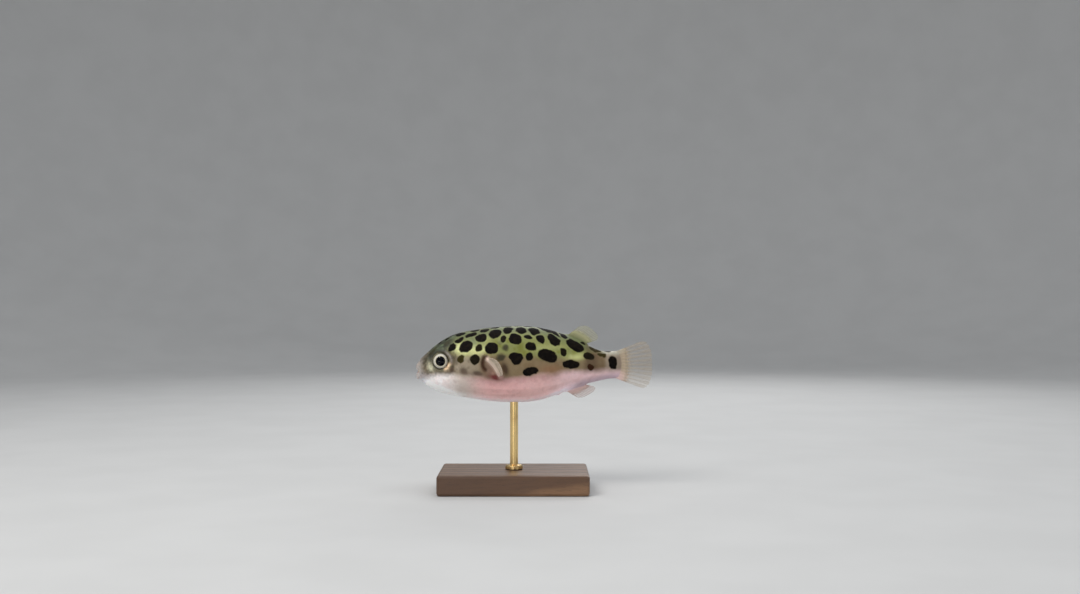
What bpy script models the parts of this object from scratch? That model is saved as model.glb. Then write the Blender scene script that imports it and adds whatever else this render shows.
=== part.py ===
"""Green spotted pufferfish, life size, held by a plain display stand.

The fish swims level with its head toward -Y and its left side toward +X.
Lengths below are in millimetres and are scaled to metres when a mesh is
made.  A place on the fish is given as (from the snout, level): the distance
behind the tip of the lips, and the height over the swimming axis, a level
line from the mouth to the tail.
"""
import math

import bmesh
import bpy
import numpy as np
from mathutils import Matrix, Vector

MM = 0.001

# ---- driving dimensions -------------------------------------------------
TOTAL_LENGTH = 70.0          # lips to the rear edge of the tail fin
STANDARD_LENGTH = 59.6       # lips to the base of the tail fin
BELLY_CLEARANCE = 26.0       # floor to the lowest point of the belly
DEPTH_BELOW_AXIS = 11.2      # swimming axis to the lowest point of the belly
JOINT_GAP = 0.3              # between neighbouring pieces
HEAD_LENGTH = 19.9           # lips to the gill opening
STALK_START = 50.6           # where the trunk hands over to the tail stalk
RING_POINTS = 40             # points round a body section

AXIS_LEVEL = BELLY_CLEARANCE + DEPTH_BELOW_AXIS
SNOUT_Y = -TOTAL_LENGTH / 2

# Sections through the body, front to back: (name, from the snout, back,
# belly, half width, level of the widest point, squareness above, below)
SECTIONS = (
    ("behind the lips", 1.3, 1.6, -4.8, 3.2, -1.75, 2.0, 2.0),
    ("nostril", 4.0, 4.3, -6.75, 5.05, -2.0, 2.15, 2.0),
    ("eye", 7.2, 6.95, -8.05, 6.75, -2.2, 2.35, 2.1),
    ("nape", 11.0, 8.75, -9.1, 8.0, -2.1, 2.4, 2.2),
    ("cheek", 16.0, 9.9, -9.95, 8.9, -1.8, 2.4, 2.3),
    ("shoulder", 22.0, 10.8, -10.85, 9.35, -1.6, 2.3, 2.3),
    ("middle", 29.0, 11.3, -11.2, 9.2, -1.6, 2.25, 2.3),
    ("vent side", 36.5, 10.8, -10.6, 8.2, -1.4, 2.2, 2.2),
    ("fin base", 43.5, 9.0, -8.25, 6.2, -0.8, 2.1, 2.1),
    ("stalk root", 49.0, 6.75, -6.25, 4.5, -0.3, 2.0, 2.0),
    ("stalk", 53.6, 4.35, -5.05, 3.25, -0.3, 2.0, 2.0),
    ("wrist", 57.2, 3.8, -4.3, 2.15, -0.2, 2.0, 2.0),
    ("tail base", STANDARD_LENGTH, 3.85, -4.25, 0.95, -0.2, 2.0, 2.0),
)

# Rings that roll the skin from inside the mouth out over the lips: (from the
# snout at the middle, set-back of the mouth corners, half width, top, bottom)
MOUTH_RINGS = (
    (3.0, 0.0, 1.3, -1.55, -2.55),
    (2.75, 0.0, 1.9, -1.05, -3.05),
    (1.6, 0.2, 2.1, -0.95, -3.15),
    (0.75, 0.5, 2.05, -1.05, -3.05),
    (0.25, 0.8, 2.1, -1.0, -3.1),
    (0.0, 1.0, 2.3, -0.65, -3.45),
    (0.0, 1.1, 2.55, -0.25, -3.95),
    (0.2, 0.95, 2.8, 0.2, -4.3),
    (0.7, 0.5, 3.0, 0.85, -4.57),
)
MOUTH_LEVEL = -2.05          # where the two tooth plates meet

# Low swellings of the flank: (name, from the snout, level, reach, height)
SWELLINGS = (
    ("rim of the eye", 7.8, 1.15, 3.4, 0.4),
    ("root of the side fin", 23.5, -1.0, 3.2, 0.5),
)

EYE_FROM_SNOUT = 7.8
EYE_LEVEL = 1.15
EYE_FROM_MIDDLE = 5.1
EYE_RADIUS = 2.8

FIN_THICKNESS = 0.6

BASE_LENGTH = 44.0
BASE_WIDTH = 28.0
BASE_HEIGHT = 6.0
BASE_BEVEL = 0.8
BASE_CENTRE_Y = -6.0
ROD_RADIUS = 1.2
ROD_FROM_SNOUT = SNOUT_Y * -1 + BASE_CENTRE_Y
ROD_BURIED = 2.2             # length of rod inside the belly
ROD_IN_BASE = 3.0            # length of rod inside the base
FERRULE_RADIUS = 2.6
FERRULE_HEIGHT = 1.2


# ---- small helpers ------------------------------------------------------
def natural_spline(xs, values):
    """A smooth curve through the values: returns a function of x."""
    xs = np.asarray(xs, float)
    v = np.asarray(values, float)
    n = len(xs)
    h = np.diff(xs)
    a = np.zeros((n, n))
    r = np.zeros(n)
    a[0, 0] = a[-1, -1] = 1.0
    for i in range(1, n - 1):
        a[i, i - 1], a[i, i], a[i, i + 1] = h[i - 1], 2 * (h[i - 1] + h[i]), h[i]
        r[i] = 6 * ((v[i + 1] - v[i]) / h[i] - (v[i] - v[i - 1]) / h[i - 1])
    m = np.linalg.solve(a, r)

    def at(x):
        i = int(np.clip(np.searchsorted(xs, x) - 1, 0, n - 2))
        p, q = (xs[i + 1] - x) / h[i], (x - xs[i]) / h[i]
        bend = ((p ** 3 - p) * m[i] + (q ** 3 - q) * m[i + 1]) * h[i] ** 2 / 6
        return float(p * v[i] + q * v[i + 1] + bend)

    return at


PLACES = [s[1] for s in SECTIONS]
BACK, BELLY, HALF_WIDTH, WIDEST, SQUARE_UP, SQUARE_DOWN = (
    natural_spline(PLACES, [s[k] for s in SECTIONS]) for k in range(2, 8)
)


def world(side, from_snout, level):
    """A place on the fish as a point in metres."""
    return Vector((side, SNOUT_Y + from_snout, AXIS_LEVEL + level)) * MM


def oval(half_width, top, bottom, widest, up, down, angle):
    """A point of a section: angle 0 is the back, a quarter turn is the left side."""
    c, s = math.cos(angle), math.sin(angle)
    power = up if c >= 0 else down
    side = half_width * math.copysign(abs(s) ** (2 / power), s)
    reach = (top - widest) if c >= 0 else (widest - bottom)
    return side, widest + reach * math.copysign(abs(c) ** (2 / power), c)


def body_point(from_snout, angle):
    side, level = oval(HALF_WIDTH(from_snout), BACK(from_snout), BELLY(from_snout),
                       WIDEST(from_snout), SQUARE_UP(from_snout), SQUARE_DOWN(from_snout), angle)
    for _, place, height_at, reach, height in SWELLINGS:
        away = ((from_snout - place) ** 2 + (level - height_at) ** 2) / reach ** 2
        side += math.copysign(height * math.exp(-away), math.sin(angle))
    return side, level


def body_ring(from_snout):
    points = []
    for k in range(RING_POINTS):
        side, level = body_point(from_snout, 2 * math.pi * k / RING_POINTS)
        points.append(world(side, from_snout, level))
    return points


def mouth_ring(from_snout, set_back, half_width, top, bottom):
    points = []
    for k in range(RING_POINTS):
        angle = 2 * math.pi * k / RING_POINTS
        side, level = oval(half_width, top, bottom, (top + bottom) / 2, 2.0, 2.0, angle)
        points.append(world(side, from_snout + set_back * math.sin(angle) ** 2, level))
    return points


def body_side_at(from_snout, level):
    """Half width of the body at a level."""
    low, high = 0.0, math.pi
    for _ in range(40):
        middle = (low + high) / 2
        if body_point(from_snout, middle)[1] > level:
            low = middle
        else:
            high = middle
    return body_point(from_snout, low)[0]


def clear_scene():
    for o in list(bpy.data.objects):
        bpy.data.objects.remove(o, do_unlink=True)


def new_collection(name):
    collection = bpy.data.collections.new(name)
    bpy.context.scene.collection.children.link(collection)
    return collection


def material(name, colour, roughness, metallic=0.0, alpha=1.0):
    m = bpy.data.materials.new(name)
    m.use_nodes = True
    shader = m.node_tree.nodes["Principled BSDF"]
    shader.inputs["Base Color"].default_value = (*colour, 1.0)
    shader.inputs["Roughness"].default_value = roughness
    shader.inputs["Metallic"].default_value = metallic
    shader.inputs["Alpha"].default_value = alpha
    m.diffuse_color = (*colour, alpha)
    return m


def finish_mesh(name, bm, collection, mat, smooth_angle=40):
    bmesh.ops.recalc_face_normals(bm, faces=bm.faces[:])
    mesh = bpy.data.meshes.new(name)
    bm.to_mesh(mesh)
    bm.free()
    mesh.shade_smooth()
    mesh.set_sharp_from_angle(angle=math.radians(smooth_angle))
    o = bpy.data.objects.new(name, mesh)
    collection.objects.link(o)
    if mat is not None:
        mesh.materials.append(mat)
    return o


def loft(name, rings, collection, mat):
    """A closed body through rings of equal point counts, capped at both ends."""
    bm = bmesh.new()
    rows = [[bm.verts.new(p) for p in ring] for ring in rings]
    for a, b in zip(rows, rows[1:]):
        for k in range(len(a)):
            j = (k + 1) % len(a)
            bm.faces.new((a[k], a[j], b[j], b[k]))
    bm.faces.new(list(reversed(rows[0])))
    bm.faces.new(rows[-1])
    return finish_mesh(name, bm, collection, mat)


def hide_cutter(o):
    o.hide_render = True
    o.display_type = 'WIRE'


def subtract(target, cutter):
    modifier = target.modifiers.new("cut_" + cutter.name, 'BOOLEAN')
    modifier.operation = 'DIFFERENCE'
    modifier.solver = 'EXACT'
    modifier.object = cutter


def places_between(start, end, longest):
    count = max(2, int(math.ceil((end - start) / longest)) + 1)
    return [start + (end - start) * i / (count - 1) for i in range(count)]


# ---- body ---------------------------------------------------------------
def make_head(collection, mat):
    rings = [mouth_ring(*ring) for ring in MOUTH_RINGS]
    rings += [body_ring(u) for u in places_between(PLACES[0], 6.0, 0.8)]
    rings += [body_ring(u) for u in places_between(7.0, HEAD_LENGTH, 1.3)]
    return loft("head", rings, collection, mat)


def make_trunk(collection, mat):
    start = HEAD_LENGTH + JOINT_GAP
    rings = [body_ring(u) for u in places_between(start, STALK_START, 1.9)]
    return loft("trunk", rings, collection, mat)


def make_stalk(collection, mat):
    start = STALK_START + JOINT_GAP
    rings = [body_ring(u) for u in places_between(start, STANDARD_LENGTH, 1.1)]
    return loft("tail_stalk", rings, collection, mat)


def sphere(name, centre, radius, collection, mat, segments=22, rings=12, scale=(1, 1, 1)):
    bm = bmesh.new()
    bmesh.ops.create_uvsphere(bm, u_segments=segments, v_segments=rings, radius=radius * MM)
    bmesh.ops.rotate(bm, cent=(0, 0, 0), matrix=Matrix.Rotation(math.pi / 2, 3, 'Y'), verts=bm.verts[:])
    bmesh.ops.scale(bm, vec=scale, verts=bm.verts[:])
    o = finish_mesh(name, bm, collection, mat, 60)
    o.location = centre
    return o


def make_eyes(collection, cutters, head, mat):
    for side, name in ((1, "left"), (-1, "right")):
        centre = world(side * EYE_FROM_MIDDLE, EYE_FROM_SNOUT, EYE_LEVEL)
        sphere("eye_" + name, centre, EYE_RADIUS, collection, mat)
        socket = sphere("socket_" + name, centre, EYE_RADIUS + JOINT_GAP, cutters, None)
        hide_cutter(socket)
        subtract(head, socket)


def make_beak(collection, mat):
    """Each jaw's fused tooth plate, a dome cut flat where the plates meet."""
    for name, sign in (("beak_upper", 1), ("beak_lower", -1)):
        bm = bmesh.new()
        bmesh.ops.create_uvsphere(bm, u_segments=20, v_segments=12, radius=MM)
        bmesh.ops.scale(bm, vec=(1.45, 1.0, 0.66), verts=bm.verts[:])
        cut = bmesh.ops.bisect_plane(
            bm, geom=bm.verts[:] + bm.edges[:] + bm.faces[:], dist=1e-7,
            plane_co=(0, 0, 0), plane_no=(0, 0, -sign), clear_outer=True)
        rim = [e for e in cut["geom_cut"] if isinstance(e, bmesh.types.BMEdge)]
        bmesh.ops.contextual_create(bm, geom=rim)
        o = finish_mesh(name, bm, collection, mat, 50)
        lead = 0.0 if sign > 0 else 0.12
        o.location = world(0, 1.4 + lead, MOUTH_LEVEL + sign * JOINT_GAP / 4 * 1.2)


# ---- fins ---------------------------------------------------------------
def rounded(t, share, power):
    """Ray length along a fin's root, as a share of the longest: 1 in the middle,
    falling in a round corner to the given share at both ends."""
    return share + (1 - share) * (1 - abs(2 * t - 1) ** power) ** (1 / power)


def fin(name, root, ray, collection, mat, across=14, along=6):
    """A thin plate: root(t) is a point, t from 0 to 1 along the root, and
    ray(t, out) the way from there, out from 0 at the root to 1 at the tip."""
    bm = bmesh.new()
    bmesh.ops.create_grid(bm, x_segments=across, y_segments=along, size=1.0)
    for v in bm.verts:
        t, out = 0.5 - 0.5 * math.cos(math.pi * (v.co.x + 1) / 2), (v.co.y + 1) / 2
        t = min(1.0, max(0.0, 0.35 * (v.co.x + 1) / 2 + 0.65 * t))
        p = Vector(root(t)) + Vector(ray(t, out))
        v.co = world(p.x, p.y, p.z)
    mesh = bpy.data.meshes.new(name)
    bm.to_mesh(mesh)
    bm.free()
    mesh.shade_smooth()
    mesh.materials.append(mat)
    o = bpy.data.objects.new(name, mesh)
    collection.objects.link(o)
    skin = o.modifiers.new("thickness", 'SOLIDIFY')
    skin.thickness = FIN_THICKNESS * MM
    skin.offset = 0.0
    skin.use_even_offset = True
    return o


def lerp(a, b, t):
    return a + (b - a) * t


def median_fin(name, sign, front, rear, lean_front, lean_rear, front_length,
               rear_length, corner, tilt, collection, mat):
    """Dorsal (sign 1) or anal (sign -1) fin: rays lean back from the vertical
    and the whole blade tilts to the right side of the body."""
    edge = BACK if sign > 0 else BELLY

    def root(t):
        u = lerp(front, rear, t)
        return (0.0, u, edge(u) + sign * (JOINT_GAP + 0.15))

    def ray(t, out):
        lean = math.radians(lerp(lean_front, lean_rear, t))
        length = lerp(front_length, rear_length, t) * rounded(t, corner, 2.4)
        reach = length * out
        up = reach * math.cos(lean)
        side = math.radians(tilt) * (0.6 + 0.4 * out)
        return (-up * math.sin(side), reach * math.sin(lean), sign * up * math.cos(side))

    return fin(name, root, ray, collection, mat)


def tail_fin(collection, mat):
    root_top, root_bottom = 3.7, -4.1
    spread = math.radians(21)

    def root(t):
        return (0.0, STANDARD_LENGTH + JOINT_GAP, lerp(root_bottom, root_top, t))

    def ray(t, out):
        angle = lerp(-spread, spread, t)
        longest = TOTAL_LENGTH - STANDARD_LENGTH - JOINT_GAP
        reach = longest * rounded(t, 0.62, 3.0) * out
        sway = 0.5 * out * out
        return (-sway, reach * math.cos(angle), reach * math.sin(angle))

    return fin("caudal_fin", root, ray, collection, mat, across=18, along=7)


def pectoral_fin(side_name, side, collection, mat):
    """A fan that stands out from the flank; its bowed root slants down and back
    behind the gill."""
    top, bottom = (21.75, 1.7), (25.05, -3.0)
    bow = 0.38

    def root(t):
        arch = 4 * t * (1 - t) * bow
        u = lerp(bottom[0], top[0], t) + 0.82 * arch
        level = lerp(bottom[1], top[1], t) + 0.57 * arch
        return (side * (body_side_at(u, level) + JOINT_GAP + 0.25), u, level)

    def ray(t, out):
        rise = math.radians(lerp(6, 12, t))
        sweep = math.radians(7 + 8 * out)
        reach = lerp(5.8, 6.4, t) * rounded(t, 0.55, 2.6) * out
        return (side * reach * math.cos(sweep) * math.cos(rise),
                reach * math.sin(sweep),
                reach * math.sin(rise) * math.cos(sweep))

    return fin("pectoral_fin_" + side_name, root, ray, collection, mat, across=14, along=6)


# ---- stand --------------------------------------------------------------
def cylinder(name, centre, radius, height, collection, mat, segments=32):
    bm = bmesh.new()
    bmesh.ops.create_cone(bm, cap_ends=True, segments=segments, radius1=radius * MM,
                          radius2=radius * MM, depth=height * MM)
    o = finish_mesh(name, bm, collection, mat, 30)
    o.location = Vector(centre) * MM
    return o


def make_stand(collection, cutters, trunk, wood, brass):
    bm = bmesh.new()
    bmesh.ops.create_cube(bm, size=MM)
    bmesh.ops.scale(bm, vec=(BASE_WIDTH, BASE_LENGTH, BASE_HEIGHT), verts=bm.verts[:])
    base = finish_mesh("stand_base", bm, collection, wood, 30)
    base.location = Vector((0, BASE_CENTRE_Y, BASE_HEIGHT / 2)) * MM
    edge = base.modifiers.new("edge", 'BEVEL')
    edge.width = BASE_BEVEL * MM
    edge.segments = 2
    edge.limit_method = 'ANGLE'

    hole_depth = ROD_IN_BASE + JOINT_GAP
    hole = cylinder("rod_hole", (0, BASE_CENTRE_Y, BASE_HEIGHT - hole_depth / 2 + 1.0),
                    ROD_RADIUS + JOINT_GAP, hole_depth + 2.0, cutters, None)
    hide_cutter(hole)
    subtract(base, hole)

    belly = AXIS_LEVEL + BELLY(ROD_FROM_SNOUT)
    rod_top = belly + ROD_BURIED
    rod_bottom = BASE_HEIGHT - ROD_IN_BASE
    socket_top = rod_top + JOINT_GAP
    socket = cylinder("belly_socket", (0, BASE_CENTRE_Y, socket_top - 3.0),
                      ROD_RADIUS + JOINT_GAP, 6.0, cutters, None)
    hide_cutter(socket)
    subtract(trunk, socket)

    flange = BASE_HEIGHT + JOINT_GAP
    profile = [
        (0.0, rod_top), (ROD_RADIUS - 0.2, rod_top), (ROD_RADIUS, rod_top - 0.2),
        (ROD_RADIUS, flange + FERRULE_HEIGHT + 0.3),
        (ROD_RADIUS + 0.3, flange + FERRULE_HEIGHT), (FERRULE_RADIUS - 0.3, flange + FERRULE_HEIGHT - 0.15),
        (FERRULE_RADIUS, flange + FERRULE_HEIGHT - 0.5), (FERRULE_RADIUS, flange),
        (ROD_RADIUS, flange), (ROD_RADIUS, rod_bottom), (0.0, rod_bottom),
    ]
    mesh = bpy.data.meshes.new("stand_rod")
    mesh.from_pydata([(r * MM, 0.0, z * MM) for r, z in profile],
                     [(i, i + 1) for i in range(len(profile) - 1)], [])
    rod = bpy.data.objects.new("stand_rod", mesh)
    collection.objects.link(rod)
    mesh.materials.append(brass)
    rod.location = (0, BASE_CENTRE_Y * MM, 0)
    turn = rod.modifiers.new("turn", 'SCREW')
    turn.axis = 'Z'
    turn.steps = turn.render_steps = 24
    turn.use_merge_vertices = True
    turn.merge_threshold = 0.00002
    turn.use_smooth_shade = True


def main():
    clear_scene()
    fish = new_collection("green_spotted_pufferfish")
    cutters = new_collection("cutters")
    skin = material("skin", (0.33, 0.33, 0.12), 0.42)
    fin_web = material("fin_web", (0.62, 0.58, 0.42), 0.35, alpha=0.6)
    eye = material("eye", (0.02, 0.02, 0.03), 0.08)
    tooth = material("tooth", (0.80, 0.74, 0.60), 0.3)
    wood = material("stand_wood", (0.09, 0.045, 0.02), 0.4)
    brass = material("stand_brass", (0.80, 0.58, 0.26), 0.28, metallic=1.0)

    head = make_head(fish, skin)
    trunk = make_trunk(fish, skin)
    make_stalk(fish, skin)
    make_eyes(fish, cutters, head, eye)
    make_beak(fish, tooth)
    median_fin("dorsal_fin", 1, 44.6, 49.9, 51, 70, 6.0, 4.6, 0.55, 22, fish, fin_web)
    median_fin("anal_fin", -1, 44.2, 49.4, 54, 74, 5.0, 4.2, 0.55, 22, fish, fin_web)
    tail_fin(fish, fin_web)
    pectoral_fin("left", 1, fish, fin_web)
    pectoral_fin("right", -1, fish, fin_web)
    make_stand(fish, cutters, trunk, wood, brass)


main()
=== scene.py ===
"""Looks of the green spotted pufferfish on its stand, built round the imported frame.

Lengths are in millimetres until a mesh is made.  A place on the fish is (side, from the
snout, level): +side is the left flank, level is the height over the swimming axis.
"""
import math

import bmesh
import bpy
import numpy as np
from mathutils import Matrix, Vector


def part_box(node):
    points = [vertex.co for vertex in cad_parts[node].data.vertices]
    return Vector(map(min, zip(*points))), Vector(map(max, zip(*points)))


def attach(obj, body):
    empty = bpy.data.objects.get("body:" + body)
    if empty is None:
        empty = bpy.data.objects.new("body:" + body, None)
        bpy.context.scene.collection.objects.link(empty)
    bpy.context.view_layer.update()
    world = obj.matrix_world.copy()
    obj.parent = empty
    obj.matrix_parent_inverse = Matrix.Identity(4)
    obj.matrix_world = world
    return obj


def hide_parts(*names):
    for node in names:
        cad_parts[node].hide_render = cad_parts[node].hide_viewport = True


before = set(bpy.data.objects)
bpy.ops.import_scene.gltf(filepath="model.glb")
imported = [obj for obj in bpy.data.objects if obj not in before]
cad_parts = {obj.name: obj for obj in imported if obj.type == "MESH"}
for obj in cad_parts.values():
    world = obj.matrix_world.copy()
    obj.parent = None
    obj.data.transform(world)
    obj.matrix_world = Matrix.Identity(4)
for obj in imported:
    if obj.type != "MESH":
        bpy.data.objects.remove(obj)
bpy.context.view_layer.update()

MM = 0.001
TOTAL_LENGTH = 70.0
STANDARD_LENGTH = 59.6
SNOUT_Y = -35.0
AXIS_LEVEL = 37.2
MOUTH_LEVEL = -2.05
PI = math.pi

# ------------------------------------------------------------------ body form
SECTIONS = (
    # from the snout, back, belly, half width, widest level, squareness above, below
    (1.3, 1.6, -4.8, 3.2, -1.75, 2.0, 2.0),
    (4.0, 4.3, -6.75, 5.05, -2.0, 2.15, 2.0),
    (7.2, 6.95, -8.05, 6.75, -2.2, 2.35, 2.1),
    (11.0, 8.75, -9.1, 8.0, -2.1, 2.4, 2.2),
    (16.0, 9.9, -9.95, 8.9, -1.8, 2.4, 2.3),
    (22.0, 10.8, -10.85, 9.35, -1.6, 2.3, 2.3),
    (29.0, 11.3, -11.2, 9.2, -1.6, 2.25, 2.3),
    (36.5, 10.8, -10.6, 8.2, -1.4, 2.2, 2.2),
    (43.5, 9.0, -8.25, 6.2, -0.8, 2.1, 2.1),
    (49.0, 6.75, -6.25, 4.5, -0.3, 2.0, 2.0),
    (53.6, 4.35, -5.05, 3.25, -0.3, 2.0, 2.0),
    (57.2, 3.8, -4.3, 2.15, -0.2, 2.0, 2.0),
    (STANDARD_LENGTH, 3.85, -4.25, 0.95, -0.2, 2.0, 2.0),
)
# Inside of the mouth, over the lips, to the first section: (from the snout at the
# middle, set-back of the corners, half width, top, bottom)
MOUTH_RINGS = (
    (2.9, 0.0, 1.20, -1.60, -2.50),
    (2.5, 0.0, 1.75, -1.15, -2.95),
    (1.7, 0.3, 1.95, -1.10, -3.00),
    (1.0, 0.6, 1.85, -1.58, -2.54),
    (0.52, 0.88, 1.80, -1.78, -2.34),
    (0.17, 1.02, 1.92, -1.62, -2.52),
    (0.00, 1.08, 2.16, -1.15, -3.00),
    (0.02, 1.05, 2.45, -0.42, -3.74),
    (0.24, 0.85, 2.71, 0.14, -4.26),
    (0.72, 0.50, 2.95, 0.86, -4.55),
)
EYE = (5.26, 7.8, 1.15)       # centre of the left eyeball
EYE_RADIUS = 2.72
EYE_OPENING = 2.36
FIN_TOP, FIN_LOW, FIN_BOW = (21.75, 1.7), (25.05, -3.0), 0.38   # root of the side fin


def natural_spline(xs, values):
    xs, v = np.asarray(xs, float), np.asarray(values, float)
    n, h = len(xs), np.diff(xs)
    a, r = np.zeros((n, n)), np.zeros(n)
    a[0, 0] = a[-1, -1] = 1.0
    for i in range(1, n - 1):
        a[i, i - 1], a[i, i], a[i, i + 1] = h[i - 1], 2 * (h[i - 1] + h[i]), h[i]
        r[i] = 6 * ((v[i + 1] - v[i]) / h[i] - (v[i] - v[i - 1]) / h[i - 1])
    m = np.linalg.solve(a, r)

    def at(x):
        x = np.asarray(x, float)
        i = np.clip(np.searchsorted(xs, x) - 1, 0, n - 2)
        p, q = (xs[i + 1] - x) / h[i], (x - xs[i]) / h[i]
        bend = ((p ** 3 - p) * m[i] + (q ** 3 - q) * m[i + 1]) * h[i] ** 2 / 6
        return p * v[i] + q * v[i + 1] + bend

    return at


PLACES = [s[0] for s in SECTIONS]
BACK, BELLY, HALF, WIDEST, UP, DOWN = (
    natural_spline(PLACES, [s[k] for s in SECTIONS]) for k in range(1, 7))


def smooth(x, low, high):
    t = np.clip((np.asarray(x, float) - low) / (high - low), 0, 1)
    return t * t * (3 - 2 * t)


def hump(x, centre, width):
    return np.exp(-((np.asarray(x, float) - centre) / width) ** 2)


def oval(half, top, bottom, widest, up, down, angle):
    """Points of a section; angle 0 is the back, a quarter turn the left side."""
    c, s = np.cos(angle), np.sin(angle)
    power = np.where(c >= 0, up, down)
    side = half * np.sign(s) * np.abs(s) ** (2 / power)
    reach = np.where(c >= 0, top - widest, widest - bottom)
    return side, widest + reach * np.sign(c) * np.abs(c) ** (2 / power)


def body_side(u, level):
    """Half width of the plain body at a level, for scalars."""
    lo, hi = 0.0, PI
    for _ in range(40):
        mid = (lo + hi) / 2
        if oval(HALF(u), BACK(u), BELLY(u), WIDEST(u), UP(u), DOWN(u), mid)[1] > level:
            lo = mid
        else:
            hi = mid
    return float(oval(HALF(u), BACK(u), BELLY(u), WIDEST(u), UP(u), DOWN(u), lo)[0])


# ------------------------------------------------------------------ noise
def lattice(ix, iy, iz, seed):
    n = (ix * 374761393 + iy * 668265263 + iz * 2147483647 + seed * 1274126177) & 0xFFFFFFFF
    n = ((n ^ (n >> 13)) * 1274126177) & 0xFFFFFFFF
    n = ((n ^ (n >> 16)) * 2246822519) & 0xFFFFFFFF
    return ((n ^ (n >> 15)) & 0xFFFFFF) / float(0xFFFFFF)


def noise(p, scale, seed=0, octaves=1):
    """Smooth value noise from -1 to 1 at points p; scale is cells to a millimetre."""
    out, amp, total = 0.0, 1.0, 0.0
    for o in range(octaves):
        q = p * scale * 2 ** o + 13.7 * o
        i = np.floor(q).astype(np.int64)
        f = q - i
        w = f * f * f * (f * (f * 6 - 15) + 10)
        acc = 0.0
        for dx in (0, 1):
            for dy in (0, 1):
                for dz in (0, 1):
                    weight = ((w[..., 0] if dx else 1 - w[..., 0])
                              * (w[..., 1] if dy else 1 - w[..., 1])
                              * (w[..., 2] if dz else 1 - w[..., 2]))
                    acc = acc + weight * lattice(i[..., 0] + dx, i[..., 1] + dy, i[..., 2] + dz, seed + 7 * o)
        out = out + amp * (2 * acc - 1)
        total += amp
        amp *= 0.5
    return out / total


def to_world(p):
    """Fish millimetres to world metres."""
    p = np.asarray(p, float)
    return (p + np.array([0.0, SNOUT_Y, AXIS_LEVEL])) * MM


# ------------------------------------------------------------------ the skin's grid
AROUND = 256


def spaced(stops):
    """Places along a line, from (place, spacing) pairs whose spacing changes smoothly."""
    out, x = [], stops[0][0]
    at = [s[0] for s in stops]
    step = [s[1] for s in stops]
    while x < at[-1]:
        out.append(x)
        x += float(np.interp(x, at, step))
    return np.array(out + [at[-1]])


def ring_table():
    """One row a ring: middle place, corner set-back, end set-back, half width, top,
    bottom, widest, squareness above and below."""
    key = [(u, back, 0.0, half, top, bottom, (top + bottom) / 2 - 0.15 * smooth(k, 6, 10), 2.0, 2.0)
           for k, (u, back, half, top, bottom) in enumerate(MOUTH_RINGS)]
    for u, back in ((1.3, 0.15), (2.0, 0.0), (2.8, 0.0), (3.6, 0.0), (4.4, 0.0)):
        key.append((u, back, 0.0, HALF(u), BACK(u), BELLY(u), WIDEST(u), UP(u), DOWN(u)))
    key = np.array(key, float)
    step = np.linalg.norm(np.diff(key[:, [0, 3, 4, 5]] * [1, 0.7, 0.7, 0.7], axis=0), axis=1)
    along = np.concatenate([[0], np.cumsum(step)])
    stop = along[-3]
    curves = [natural_spline(along, key[:, c]) for c in range(9)]
    t = spaced([(0, 0.22), (along[3], 0.13), (along[5], 0.08), (along[10], 0.10), (stop, 0.13)])
    first = np.stack([c(t) for c in curves], 1)
    u = spaced([(2.8, 0.125), (12, 0.135), (18, 0.17), (20, 0.15), (26, 0.15), (30, 0.25),
                (42, 0.25), (46, 0.22), (57, 0.22), (STANDARD_LENGTH, 0.15)])[1:]
    none = np.zeros_like(u)
    second = np.stack([u, none, none, HALF(u), BACK(u), BELLY(u), WIDEST(u), UP(u), DOWN(u)], 1)
    # the fleshy root of the tail fin, thinning out over the rays
    k = np.linspace(0, 1, 16)[1:]
    end = STANDARD_LENGTH + 2.2 * k
    half = 0.95 - 0.87 * np.sin(PI * k / 2) ** 1.1
    last = np.stack([end, 0 * k, 1.0 * k, half, 3.85 - 0.10 * k, -4.25 + 0.10 * k,
                     -0.2 + 0 * k, 2.0 + 0.8 * k, 2.0 + 0.8 * k], 1)
    return np.concatenate([first, second, last])


RINGS = ring_table()
theta = 2 * PI * np.arange(AROUND) / AROUND
ANGLE = theta + 0.13 * np.sin(2 * theta)


def plain_skin():
    cols = [RINGS[:, c][:, None] for c in range(9)]
    side, level = oval(cols[3], cols[4], cols[5], cols[6], cols[7], cols[8], ANGLE[None, :])
    u = cols[0] + cols[1] * np.sin(ANGLE)[None, :] ** 2 - cols[2] * (
        (level - cols[6]) / np.maximum(cols[4] - cols[6], 0.1)) ** 2
    return np.stack([side, u, level], -1)


def grid_normals(p):
    around = np.roll(p, -1, 1) - np.roll(p, 1, 1)
    along = np.empty_like(p)
    along[1:-1] = p[2:] - p[:-2]
    along[0], along[-1] = p[1] - p[0], p[-1] - p[-2]
    n = np.cross(around, along)
    n /= np.maximum(np.linalg.norm(n, axis=-1, keepdims=True), 1e-9)
    return n


BASE = plain_skin()
NORMAL = grid_normals(BASE)
row = np.arange(len(RINGS))
CHECK = np.argmin(np.abs(RINGS[:, 0] - 29) + (row < 60) * 99)
if NORMAL[CHECK, AROUND // 4, 0] < 0:
    NORMAL = -NORMAL
SIDE, U, LEVEL = BASE[..., 0], BASE[..., 1], BASE[..., 2]
LEFT = np.where(SIDE >= 0, 1.0, -1.0)
OUTSIDE = (row > np.argmin(np.abs(RINGS[:, 0] - 0.0) + (row > 60) * 99))[:, None] & np.ones_like(SIDE, bool)
# arc length from the back's middle line, signed to the left
seg = np.linalg.norm(np.diff(BASE, axis=1), axis=-1)
half_turn = AROUND // 2
arc = np.zeros(SIDE.shape)
arc[:, 1:half_turn + 1] = np.cumsum(seg[:, :half_turn], axis=1)
close = np.linalg.norm(BASE[:, 0] - BASE[:, -1], axis=-1)
back_seg = np.concatenate([close[:, None], seg[:, ::-1][:, :half_turn - 2]], axis=1)
arc[:, half_turn + 1:] = -np.cumsum(back_seg, axis=1)[:, ::-1]

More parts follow.
